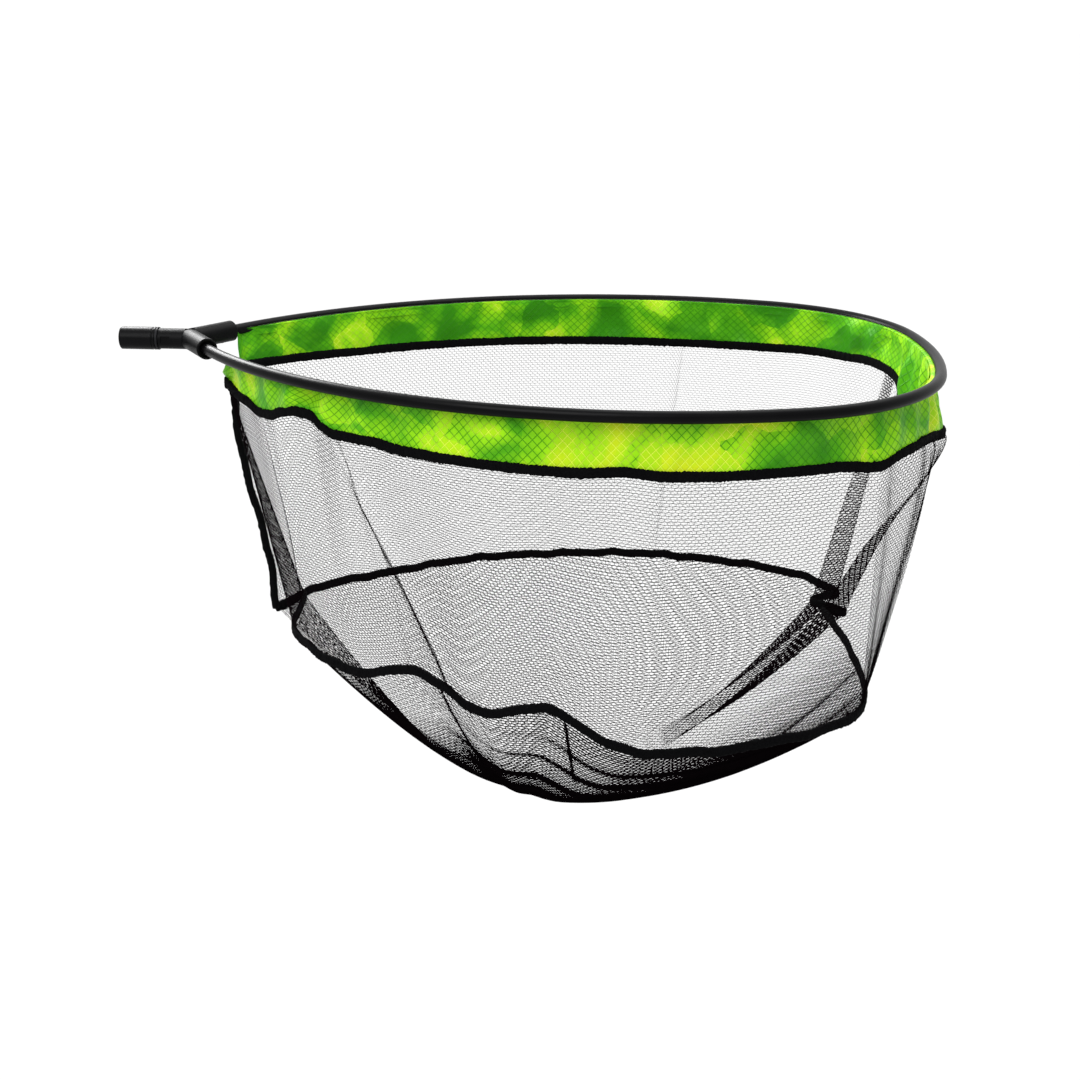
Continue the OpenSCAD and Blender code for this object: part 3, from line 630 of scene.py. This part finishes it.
def set_sockets(tree, node, sockets):
    """Sets a node's sockets, to plain values or to outputs of other nodes."""
    for key, value in sockets.items():
        if isinstance(value, bpy.types.NodeSocket):
            tree.links.new(value, node.inputs[key])
        else:
            node.inputs[key].default_value = value


def add_node(tree, kind, sockets, stops=(), **settings):
    """A shader node with its sockets, its settings and, on a colour ramp, its stops of place and colour."""
    node = tree.nodes.new("ShaderNode" + kind)
    for name, value in settings.items():
        setattr(node, name, value)
    set_sockets(tree, node, sockets)
    if stops:
        elements = node.color_ramp.elements
        while len(elements) < len(stops):
            elements.new(0.5)
        for element, (place, colour) in zip(elements, stops):
            element.position = place
            element.color = rgba(colour)
    return node


def new_material(name):
    """An empty material: its node tree and its shader, linked to the output."""
    material = bpy.data.materials.new(name)
    material.use_nodes = True
    tree = material.node_tree
    tree.nodes.clear()
    shader = add_node(tree, "BsdfPrincipled", {})
    add_node(tree, "OutputMaterial", {"Surface": shader.outputs["BSDF"]})
    return material, tree, shader


def rgba(colour):
    """Four channels from three."""
    return (*colour[:3], 1.0)


def tinted(tree, colour, pattern, tones, span=(0.0, 1.0)):
    """A colour made darker and lighter by a pattern, whose values in the span run from tone to tone."""
    tone = add_node(tree, "MapRange", {"Value": pattern.outputs["Fac"], "From Min": span[0],
                                       "From Max": span[1], "To Min": tones[0], "To Max": tones[1]})
    mixed = add_node(tree, "VectorMath", {0: list(colour[:3]), "Scale": tone.outputs["Result"]},
                     operation="SCALE")
    return mixed.outputs["Vector"]


def anodised_aluminium(name, colour):
    """Drawn and anodised aluminium: dark and satin, with faint draw lines and a few lighter rubs."""
    rub_size = 40 * MM
    # Real draw lines are far closer; these are as fine as the render can show
    line_spacing = 1.2 * MM
    material, tree, shader = new_material(name)
    place = add_node(tree, "TexCoord", {}).outputs["Object"]
    rub = add_node(tree, "TexNoise", {"Vector": place, "Scale": 1 / rub_size, "Detail": 5.0})
    lines = add_node(tree, "TexNoise", {"Vector": place, "Scale": 1 / line_spacing, "Detail": 2.0})
    rough = add_node(tree, "MapRange", {"Value": lines.outputs["Fac"], "To Min": 0.26, "To Max": 0.42})
    bump = add_node(tree, "Bump", {"Height": lines.outputs["Fac"], "Strength": 0.12, "Distance": 0.05 * MM})
    set_sockets(tree, shader, {"Base Color": tinted(tree, colour, rub, (0.8, 1.5), (0.35, 0.75)),
                               "Roughness": rough.outputs["Result"], "Normal": bump.outputs["Normal"],
                               "Specular IOR Level": 0.06})
    return material


def moulded_nylon(name, colour, grit):
    """Moulded nylon: near black, dulled by a spark-eroded grain that is drawn coarse to show."""
    cloud_size = 18 * MM
    material, tree, shader = new_material(name)
    place = add_node(tree, "TexCoord", {}).outputs["Object"]
    grain = add_node(tree, "TexNoise", {"Vector": place, "Scale": 1 / grit, "Detail": 3.0})
    cloud = add_node(tree, "TexNoise", {"Vector": place, "Scale": 1 / cloud_size, "Detail": 4.0})
    rough = add_node(tree, "MapRange", {"Value": cloud.outputs["Fac"], "To Min": 0.34, "To Max": 0.52})
    bump = add_node(tree, "Bump", {"Height": grain.outputs["Fac"], "Strength": 0.25, "Distance": 0.06 * MM})
    set_sockets(tree, shader, {"Base Color": tinted(tree, colour, cloud, (0.75, 1.35), (0.3, 0.7)),
                               "Roughness": rough.outputs["Result"], "Normal": bump.outputs["Normal"],
                               "Specular IOR Level": 0.06})
    return material


def machined_metal(name, colour, roughness):
    """Turned and plated metal: bright, with rings from the tool across its axis, drawn coarse to show."""
    ring_spacing = 0.9 * MM
    cloud_size = 6 * MM
    material, tree, shader = new_material(name)
    place = add_node(tree, "TexCoord", {}).outputs["Object"]
    rings = add_node(tree, "TexWave", {"Vector": place, "Scale": 1 / ring_spacing, "Distortion": 1.5},
                     bands_direction="X")
    cloud = add_node(tree, "TexNoise", {"Vector": place, "Scale": 1 / cloud_size, "Detail": 4.0})
    bump = add_node(tree, "Bump", {"Height": rings.outputs["Fac"], "Strength": 0.15, "Distance": 0.03 * MM})
    set_sockets(tree, shader, {"Base Color": tinted(tree, colour, cloud, (0.7, 1.2)),
                               "Normal": bump.outputs["Normal"], "Metallic": 1.0, "Roughness": roughness})
    return material


def extruded_vinyl(name, colour):
    """Extruded PVC cord: off-white, smooth and a little waxy, with faint streaks along it."""
    streak_size = 8 * MM
    material, tree, shader = new_material(name)
    place = add_node(tree, "TexCoord", {}).outputs["Object"]
    streak = add_node(tree, "TexNoise", {"Vector": place, "Scale": 1 / streak_size, "Detail": 3.0})
    set_sockets(tree, shader, {"Base Color": tinted(tree, colour, streak, (0.85, 1.05)),
                               "Roughness": 0.45})
    return material


def woven_tape(name, colour):
    """Woven polypropylene tape: matte black with a fuzzy face and fine ribs, drawn 1 mm apart to show."""
    rib_spacing = 1.0 * MM
    material, tree, shader = new_material(name)
    place = add_node(tree, "TexCoord", {}).outputs["Object"]
    ribs = add_node(tree, "TexNoise", {"Vector": place, "Scale": 1 / rib_spacing, "Detail": 4.0})
    bump = add_node(tree, "Bump", {"Height": ribs.outputs["Fac"], "Strength": 0.8, "Distance": 0.4 * MM})
    set_sockets(tree, shader, {"Base Color": tinted(tree, colour, ribs, (0.4, 1.9), (0.3, 0.7)),
                               "Normal": bump.outputs["Normal"], "Roughness": 0.95,
                               "Specular IOR Level": 0.05})
    return material


def knitted_polyester(name, colour):
    """Dyed knitted polyester mesh: black multifilament thread, so fuzzy that it has no shine."""
    strand_size = 3 * MM
    material, tree, shader = new_material(name)
    place = add_node(tree, "TexCoord", {}).outputs["Object"]
    strands = add_node(tree, "TexNoise", {"Vector": place, "Scale": 1 / strand_size, "Detail": 2.0})
    set_sockets(tree, shader, {"Base Color": tinted(tree, colour, strands, (0.6, 1.4)), "Roughness": 0.9,
                               "Specular IOR Level": 0.0})
    return material


def ripstop_grid(tree, split, square):
    """1 on the raised lines of the grid, which runs on the bias of the cloth, and 0 between them."""
    root = 0.5 ** 0.5
    lines = []
    for way in (root, -root):
        up = add_node(tree, "Math", {0: split.outputs["Y"], 1: way}, operation="MULTIPLY")
        bias = add_node(tree, "Math", {0: split.outputs["X"], 1: root, 2: up.outputs["Value"]},
                        operation="MULTIPLY_ADD")
        away = add_node(tree, "Math", {0: bias.outputs["Value"], 1: square / 2}, operation="PINGPONG")
        line = add_node(tree, "MapRange", {"Value": away.outputs["Value"], "From Min": GRID_LINE_CORE,
                                           "From Max": GRID_LINE_EDGE, "To Min": 1.0, "To Max": 0.0})
        lines.append(line.outputs["Result"])
    return add_node(tree, "Math", {0: lines[0], 1: lines[1]}, operation="MAXIMUM").outputs["Value"]


def crumpled_facets(tree, cloth):
    """Facets of the crumpled coating, with wavy edges."""
    wave = add_node(tree, "TexNoise", {"Vector": cloth, "Scale": 1 / FACET_WAVE, "Detail": 1.0})
    bent = add_node(tree, "VectorMath", {0: wave.outputs["Color"], 1: [FACET_BEND] * 3, 2: cloth},
                    operation="MULTIPLY_ADD")
    return add_node(tree, "TexVoronoi", {"Vector": bent.outputs["Vector"], "Scale": 1 / FACET_SIZE},
                    voronoi_dimensions="2D")


def mottle_and_painted_light(tree, cloth, split, facets):
    """How light the band is coloured: soft dye patches, painted light and shade in a run round the band, and
    a step of painted light and shade from facet to facet.
    """
    patches = add_node(tree, "TexNoise", {"Vector": cloth, "Scale": 1 / PATCH_SIZE, "Detail": 3.0,
                                          "Roughness": 0.5, "Distortion": 0.6})
    # Painted light and shade: darker on the left side of the band, lighter at the tip and by the right arm
    around = add_node(tree, "Math", {0: split.outputs["X"], 1: 1 / BAND_LENGTH}, operation="MULTIPLY")
    run = add_node(tree, "ValToRGB", {"Fac": around.outputs["Value"]},
                   stops=[(place, [level] * 3) for place, level in PAINTED_LIGHT_LEVELS])
    level = add_node(tree, "Math", {0: run.outputs["Color"], 1: PAINTED_LIGHT_RUN, 2: patches.outputs["Fac"]},
                     operation="MULTIPLY_ADD")
    # Painted light and shade of the crumpled facets: each facet's colour is stepped lighter or darker
    facet = add_node(tree, "SeparateColor", {"Color": facets.outputs["Color"]})
    return add_node(tree, "Math", {0: facet.outputs["Red"], 1: FACET_PAINTED_SHADE, 2: level.outputs["Value"]},
                    operation="MULTIPLY_ADD").outputs["Value"]


def coated_ripstop(name, colours, square):
    """Coated ripstop polyester: lime with soft green mottling and painted light and shade, satin, with a
    raised grid on the bias, whose threads are pale in the lightest patches and dark elsewhere."""
    material, tree, shader = new_material(name)
    cloth = add_node(tree, "UVMap", {}, uv_map="Cloth").outputs["UV"]
    split = add_node(tree, "SeparateXYZ", {"Vector": cloth})
    grid = ripstop_grid(tree, split, square)
    facets = crumpled_facets(tree, cloth)
    # The level holds the dye patches together with the painted light and shade
    level = mottle_and_painted_light(tree, cloth, split, facets)
    dyed = add_node(tree, "ValToRGB", {"Fac": level}, stops=((0.50, colours.shade), (0.62, colours.green),
                                                             (0.78, colours.lime), (1.00, colours.glow)))
    pale = add_node(tree, "MapRange", {"Value": level, "From Min": 0.76, "From Max": 0.84})
    thread = add_node(tree, "Mix", {"Factor": pale.outputs["Result"], "A": rgba(colours.shade),
                                    "B": rgba(colours.grid_thread)}, data_type="RGBA")
    shown = add_node(tree, "Math", {0: grid, 1: 0.8}, operation="MULTIPLY")
    mixed = add_node(tree, "Mix", {"Factor": shown.outputs["Value"], "A": dyed.outputs["Color"],
                                   "B": thread.outputs["Result"]}, data_type="RGBA")
    crumple = add_node(tree, "TexNoise", {"Vector": cloth, "Scale": 1 / CRUMPLE_SIZE, "Detail": 4.0})
    ridge = add_node(tree, "Math", {0: facets.outputs["Distance"], 1: 6.0, 2: grid}, operation="MULTIPLY_ADD")
    height = add_node(tree, "Math", {0: crumple.outputs["Fac"], 1: 2.0, 2: ridge.outputs["Value"]},
                      operation="MULTIPLY_ADD")
    bump = add_node(tree, "Bump", {"Height": height.outputs["Value"], "Strength": 0.6, "Distance": 0.7 * MM})
    set_sockets(tree, shader, {"Base Color": mixed.outputs["Result"], "Normal": bump.outputs["Normal"],
                               "Roughness": 0.42, "Specular IOR Level": 0.12})
    return material


def studio_floor(name, colour):
    """Painted studio floor: plain, pale and matte."""
    material, tree, shader = new_material(name)
    place = add_node(tree, "TexCoord", {}).outputs["Object"]
    cloud = add_node(tree, "TexNoise", {"Vector": place, "Scale": 1.5, "Detail": 2.0})
    set_sockets(tree, shader, {"Base Color": tinted(tree, colour, cloud, (0.99, 1.0)), "Roughness": 0.9,
                               "Specular IOR Level": 0.0})
    return material


def finish_nodes(materials):
    """Give CAD nodes their materials."""
    for node, material in materials.items():
        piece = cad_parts[node]
        piece.data.materials.clear()
        piece.data.materials.append(material)


class LANDING_NET_OT_fittings(bpy.types.Operator):
    """Finish the ferrule, thread, yoke and screws"""

    bl_idname = "landing_net.fittings"
    bl_label = "Fittings"

    def execute(self, context):
        colours = context.scene.landing_net_colours
        steel = machined_metal("Zinc-plated steel, turned", linear("#b7b9bb"), 0.32)
        dark_steel = machined_metal("Blackened steel, turned", linear("#3a3b3d"), 0.38)
        finish_nodes({
            "handle_ferrule": anodised_aluminium("Anodised aluminium, black ferrule", linear("#070708")),
            "thread_insert": machined_metal("Brass, machined", linear("#b88a45"), 0.3),
            "thread_washer": moulded_nylon("Nylon washer, moulded", linear("#1c1c1e"), 0.5 * MM),
            "thread_stud": steel,
            "stud_nut": steel,
            "stud_screw": dark_steel,
            "hoop_screws": dark_steel,
            "yoke": moulded_nylon("Glass-filled nylon, moulded", colours.plastic, 0.8 * MM),
        })
        return {"FINISHED"}


class LANDING_NET_OT_hoop(bpy.types.Operator):
    """Finish the hoop tube and the cord inside it"""

    bl_idname = "landing_net.hoop"
    bl_label = "Hoop"

    def execute(self, context):
        colours = context.scene.landing_net_colours
        finish_nodes({
            "hoop_tube": anodised_aluminium("Anodised aluminium, drawn tube", colours.tube),
            "keder_cord": extruded_vinyl("PVC cord, extruded", linear("#e8e6df")),
        })
        return {"FINISHED"}


def top_line(fraction):
    """The line of the band's top in plan, which follows the tube into the left arm of the yoke."""
    out = by_fraction(TOP_BULGES, fraction)[:, None]
    return on_loop(fraction, BAND_POINTS) + on_loop(fraction, BAND_NORMALS) * out


def band_grid(columns, rows):
    """Points of the band from its top to the middle of the tape on its lower edge, with its gathers."""
    fraction = np.linspace(0, 1, columns, endpoint=False)
    normal = on_loop(fraction, BAND_NORMALS)
    from_middle = np.minimum(fraction / CROSS_ENDS[0], (1 - fraction) / CROSS_ENDS[1])
    sag = CROSS_SAG * np.clip(1 - from_middle ** CROSS_STEEPNESS, 0, 1)
    top = np.column_stack([top_line(fraction), BAND_TOP - sag])
    hem = hem_line(fraction)
    out = np.column_stack([normal, np.zeros(columns)])
    grid = []
    for v in np.linspace(0, 1, rows):
        free = np.sin(np.pi * v) ** BAND_BELLY
        grid.append((1 - v) * top + v * hem + out * (free * gathers(fraction, v))[:, None])
    return np.array(grid)


def gathers(fraction, depth):
    """How far the band's folds stand out: gentle all round, tight at the tip and by the right arm."""
    draw = np.random.default_rng(BAND_SEED)
    out = np.zeros_like(fraction)
    for waves, height in BAND_WAVES:
        phase = draw.uniform(0, 2 * np.pi)
        slant = draw.uniform(-WAVE_SLANT, WAVE_SLANT)
        out += height * MM * np.sin(2 * np.pi * waves * fraction + phase + slant * depth)
    for middle, spread, waves, height in BAND_GATHERS:
        near = np.exp(-((fraction - middle) / spread) ** 2)
        phase = draw.uniform(0, 2 * np.pi)
        slant = draw.uniform(-GATHER_SLANT, GATHER_SLANT)
        out += near * height * MM * np.sin(2 * np.pi * waves * fraction + phase + slant * depth)
    return out - PLEAT_DEPTH * depth * np.exp(-((fraction - PLEAT_PLACE) / PLEAT_WIDTH) ** 2)


class LANDING_NET_OT_band(bpy.types.Operator):
    """Make the ripstop band and the folded sleeve that holds it in the hoop's slot"""

    bl_idname = "landing_net.band"
    bl_label = "Band"

    def execute(self, context):
        scene = context.scene
        cloth = coated_ripstop("Coated ripstop polyester", scene.landing_net_colours,
                               scene.landing_net_sizes.ripstop_square)
        columns = BAND_COLUMNS + 1
        grid = band_grid(columns, BAND_ROWS)
        fraction = np.linspace(0, 1, columns)
        # The last column closes the loop on the first
        grid[:, -1] = grid[:, 0]
        height = np.linspace(0, BAND_HEIGHT, BAND_ROWS)
        uv = np.stack(np.meshgrid(fraction * BAND_LENGTH, -height), axis=-1).reshape(-1, 2)
        faces = grid_faces(BAND_ROWS, columns, False)
        band = make_piece("band_cloth", grid.reshape(-1, 3), faces, cloth, uv=uv)
        set_piece(band, "green_ripstop", "band_fabric")
        sleeve = self.sleeve(cloth)
        set_piece(sleeve, "green_ripstop", "keder_tape")
        return {"FINISHED"}

    def sleeve(self, cloth):
        """The sleeve's lip: out of the slot, over a round edge and down behind the band."""
        fraction = np.linspace(*SLEEVE_ENDS, SLEEVE_POINTS)
        plan = top_line(fraction)
        normal = on_loop(fraction, BAND_NORMALS)
        section = np.array(SLEEVE_SECTION) * MM
        rows = [np.column_stack([plan + normal * out, np.full(len(plan), z)]) for out, z in section]
        across = np.concatenate([[0], np.cumsum(np.linalg.norm(np.diff(section, axis=0), axis=1))])
        uv = np.stack(np.meshgrid(fraction * BAND_LENGTH, -across), axis=-1).reshape(-1, 2)
        faces = grid_faces(len(rows), len(plan), False)
        return make_piece("keder_sleeve", np.concatenate(rows), faces, cloth, uv=uv)


class LANDING_NET_OT_tapes(bpy.types.Operator):
    """Make the tapes that bind the hem, the upright seam and the seam of the base"""

    bl_idname = "landing_net.tapes"
    bl_label = "Tapes"

    def execute(self, context):
        sizes = context.scene.landing_net_sizes
        tape = woven_tape("Polypropylene tape, woven", context.scene.landing_net_colours.tape)
        up = np.array([0.0, 0.0, 1.0])
        hem = hem_line(np.linspace(0, 1, HEM_POINTS, endpoint=False))
        upright = np.tile(up, (len(hem), 1))
        hem_tape = sweep_tape("hem_tape", hem, side_vectors(hem, up), upright, sizes.tape_height,
                              sizes.tape_thickness, tape)
        set_piece(hem_tape, "black_tape", "band_binding")
        wall = wall_grid()[..., :3]
        # Every second point of the seam; its last point is the first again
        seam = wall[-1, :-1:2].copy()
        turn = np.linspace(0, 2 * np.pi, len(seam))
        for waves, height, start in TAPE_RIPPLES:
            seam[:, 2] += height * MM * np.sin(waves * turn + start)
        upright = np.tile(up, (len(seam), 1))
        base_tape = sweep_tape("base_tape", seam, side_vectors(seam, up), upright, sizes.tape_height,
                               sizes.tape_thickness, tape)
        set_piece(base_tape, "black_tape", "base_binding")
        line = wall[:, 0] + [-SEAM_TAPE_BACK, 0, 0]
        down = np.linspace(0, 2 * np.pi, len(line))
        line[:, 0] -= SEAM_TAPE_BOW * np.sin(down)
        line[:, 1] += SEAM_TAPE_WAVE * np.sin(SEAM_TAPE_WAVES * down)
        across = np.tile([0.0, 1.0, 0.0], (len(line), 1))
        back = np.tile([-1.0, 0.0, 0.0], (len(line), 1))
        seam_tape = sweep_tape("seam_tape", line, back, across, sizes.seam_width,
                               SEAM_TAPE_THICKER * sizes.tape_thickness, tape, closed=False)
        set_piece(seam_tape, "black_tape", "wall_seam_binding")
        return {"FINISHED"}


class LANDING_NET_OT_mesh_bag(bpy.types.Operator):
    """Make the knitted wall and base of the bag"""

    bl_idname = "landing_net.mesh_bag"
    bl_label = "Mesh bag"

    def execute(self, context):
        sizes = context.scene.landing_net_sizes
        thread = knitted_polyester("Polyester mesh, knitted", context.scene.landing_net_colours.mesh)
        wall = self.wall(sizes, thread)
        set_piece(wall, "black_mesh", "wall_mesh")
        base = self.base(sizes, thread)
        set_piece(base, "black_mesh", "base_mesh")
        return {"FINISHED"}

    def wall(self, sizes, material):
        """The wall: a strip round the bag, from the hem to the seam."""
        grid = wall_grid()
        height = np.linalg.norm(np.diff(grid[..., :3], axis=0), axis=2).sum(axis=0).mean()
        columns = round(BAND_LENGTH / sizes.cell_width)
        rows = round(height / sizes.cell_row)
        knots, threads = honeycomb(columns, rows, True)

        def place(p):
            depth = 1 - p[:, 1] / rows
            return on_grid(grid, creased(p[:, 0] / columns, depth)[0], depth)[:, :3]

        around, depth = knots[:, 0] / columns, 1 - knots[:, 1] / rows
        moved, thicker = creased(around, depth)
        thicker += FOLDED_BACK * on_grid(grid, moved, depth)[:, 3]
        piece = knitted_net("wall_net", place, knots, threads, sizes.wall_thread * thicker, WALL_LEAN,
                            material)
        return piece

    def base(self, sizes, material):
        """The base: a rounded triangle, sewn to the wall all round and sagging in the middle."""
        grid = base_grid()
        slack = BAND_LENGTH / np.linalg.norm(np.diff(grid[-1, :, :2], axis=0), axis=1).sum()
        outline = self.outline(slack)
        turn = np.unwrap(np.arctan2(outline[:, 1], outline[:, 0]))
        turn = turn[0] - turn
        reach = np.linalg.norm(outline, axis=1)
        size = outline.max(axis=0) - outline.min(axis=0)
        columns = int(size[0] / sizes.cell_width) + 2
        rows = int(size[1] / sizes.cell_row) + 2
        knots, threads = honeycomb(columns, rows, False)
        corner = outline.min(axis=0)

        def polar(p):
            flat = folded(p * [sizes.cell_width, sizes.cell_row] + corner)[0]
            angle = (heading(outline[0]) - heading(flat.T)) % (2 * np.pi)
            place = np.interp(angle, turn, np.linspace(0, 1, len(turn)))
            return place, np.linalg.norm(flat, axis=1) / np.interp(angle, turn, reach)

        share = polar(knots)[1]
        threads = threads[(share < 1)[threads].all(axis=1)]
        flat = knots * [sizes.cell_width, sizes.cell_row] + corner
        to_handle = np.clip((SINGLE_END - flat[:, 0]) / SINGLE_FADE, 0, 1)
        to_seam = np.clip((share - SINGLE_SEAM_START) / SINGLE_SEAM_FADE, 0, 1)
        near = np.clip(-flat[:, 1] / LAYERS_FROM, 0, 1)
        thicker = folded(flat)[1] * (1 + near * (LAYERS - SINGLE * to_handle * to_seam))
        thicker += BASE_FOLDED_BACK * on_grid(grid, *polar(knots))[:, 3]
        piece = knitted_net("base_net", lambda p: on_grid(grid, *polar(p))[:, :3], knots, threads,
                            sizes.base_thread * thicker, BASE_LEAN, material)
        return piece

    def outline(self, slack):
        """Edge of the flat base round its lowest point: the seam, its tucks opened, and their slack."""
        _, _, opened, where, anchors, doubled = seam_samples()
        edge = even_curve(opened, where, anchors, np.linspace(0, 1, EDGE_POINTS), doubled)[:, :2]
        return (edge - [SAG_X, 0.0]) * max(slack, 1.0)


class LANDING_NET_OT_stage(bpy.types.Operator):
    """Make the floor, the lights and the camera"""

    bl_idname = "landing_net.stage"
    bl_label = "Stage"

    def execute(self, context):
        scene = context.scene
        self.floor(scene)
        self.lights(scene)
        self.camera(scene)
        scene.view_settings.view_transform = "Standard"
        return {"FINISHED"}

    def floor(self, scene):
        """A wide floor, far under the hanging bag, so that the boxes light it evenly."""
        half = 400.0
        height = -5.0
        mesh = bpy.data.meshes.new("studio_floor")
        corners = [(-half, -half, height), (half, -half, height), (half, half, height), (-half, half, height)]
        mesh.from_pydata(corners, [], [(0, 1, 2, 3)])
        mesh.materials.append(studio_floor("Studio floor, painted", scene.landing_net_colours.floor))
        floor = bpy.data.objects.new("studio_floor", mesh)
        scene.collection.objects.link(floor)

    def lights(self, scene):
        """Soft white light from all round, brighter from behind and above, and three soft boxes."""
        world = bpy.data.worlds.new("Studio")
        scene.world = world
        world.use_nodes = True
        tree = world.node_tree
        way = add_node(tree, "TexCoord", {}).outputs["Generated"]
        split = add_node(tree, "SeparateXYZ", {"Vector": way})
        behind = add_node(tree, "Math", {0: split.outputs["Y"], 1: SKY_BEHIND, 2: SKY_MIDDLE},
                          operation="MULTIPLY_ADD")
        above = add_node(tree, "Math", {0: split.outputs["Z"], 1: SKY_ABOVE, 2: behind.outputs["Value"]},
                         operation="MULTIPLY_ADD")
        set_sockets(tree, tree.nodes["Background"], {"Color": (1, 1, 1, 1),
                                                     "Strength": above.outputs["Value"]})
        middle = Vector((SOCKET_X + HOOP_LENGTH / 2, 0, LIGHT_AIM_Z))
        for name, place, size, power in SOFT_BOXES:
            lamp = bpy.data.lights.new(name, "AREA")
            lamp.size = size
            lamp.energy = power
            light = bpy.data.objects.new(name, lamp)
            light.location = middle + Vector(place)
            light.rotation_euler = (-Vector(place)).to_track_quat("-Z", "Y").to_euler()
            scene.collection.objects.link(light)

    def camera(self, scene):
        """The photo's camera, fitted to the hoop."""
        lens = bpy.data.cameras.new("photo_camera")
        lens.lens = CAMERA_LENS
        lens.sensor_width = CAMERA_SENSOR
        lens.sensor_fit = "HORIZONTAL"
        camera = bpy.data.objects.new("photo_camera", lens)
        ahead = Vector((np.sin(CAMERA_YAW) * np.cos(CAMERA_PITCH), np.cos(CAMERA_YAW) * np.cos(CAMERA_PITCH),
                        -np.sin(CAMERA_PITCH)))
        right = Vector((np.cos(CAMERA_YAW), -np.sin(CAMERA_YAW), 0))
        up = right.cross(ahead)
        right, up = (right * np.cos(CAMERA_ROLL) + up * np.sin(CAMERA_ROLL),
                     up * np.cos(CAMERA_ROLL) - right * np.sin(CAMERA_ROLL))
        turn = Matrix((right, up, -ahead)).transposed().to_4x4()
        camera.matrix_world = Matrix.Translation(Vector(CAMERA_PLACE) + Vector((SOCKET_X, 0, 0))) @ turn
        scene.collection.objects.link(camera)
        scene.camera = camera


class LANDING_NET_PT_panel(bpy.types.Panel):
    """Sizes, colours and steps of the landing net"""

    bl_idname = "LANDING_NET_PT_panel"
    bl_label = "Landing net"
    bl_space_type = "VIEW_3D"
    bl_region_type = "UI"
    bl_category = "Landing net"

    def draw(self, context):
        for group in (context.scene.landing_net_sizes, context.scene.landing_net_colours):
            for name in group.__annotations__:
                self.layout.prop(group, name)
        for step in STEPS:
            self.layout.operator(step.bl_idname)


STEPS = (
    LANDING_NET_OT_stage,
    LANDING_NET_OT_fittings,
    LANDING_NET_OT_hoop,
    LANDING_NET_OT_tapes,
    LANDING_NET_OT_band,
    LANDING_NET_OT_mesh_bag,
)
CLASSES = (LandingNetSizes, LandingNetColours, *STEPS, LANDING_NET_PT_panel)


def register():
    for part in CLASSES:
        bpy.utils.register_class(part)
    bpy.types.Scene.landing_net_sizes = PointerProperty(type=LandingNetSizes)
    bpy.types.Scene.landing_net_colours = PointerProperty(type=LandingNetColours)


def unregister():
    del bpy.types.Scene.landing_net_colours
    del bpy.types.Scene.landing_net_sizes
    for part in reversed(CLASSES):
        bpy.utils.unregister_class(part)


def main():
    register()
    bpy.ops.landing_net.stage()
    bpy.ops.landing_net.fittings()
    bpy.ops.landing_net.hoop()
    bpy.ops.landing_net.tapes()
    bpy.ops.landing_net.band()
    bpy.ops.landing_net.mesh_bag()


if __name__ == "__main__":
    main()
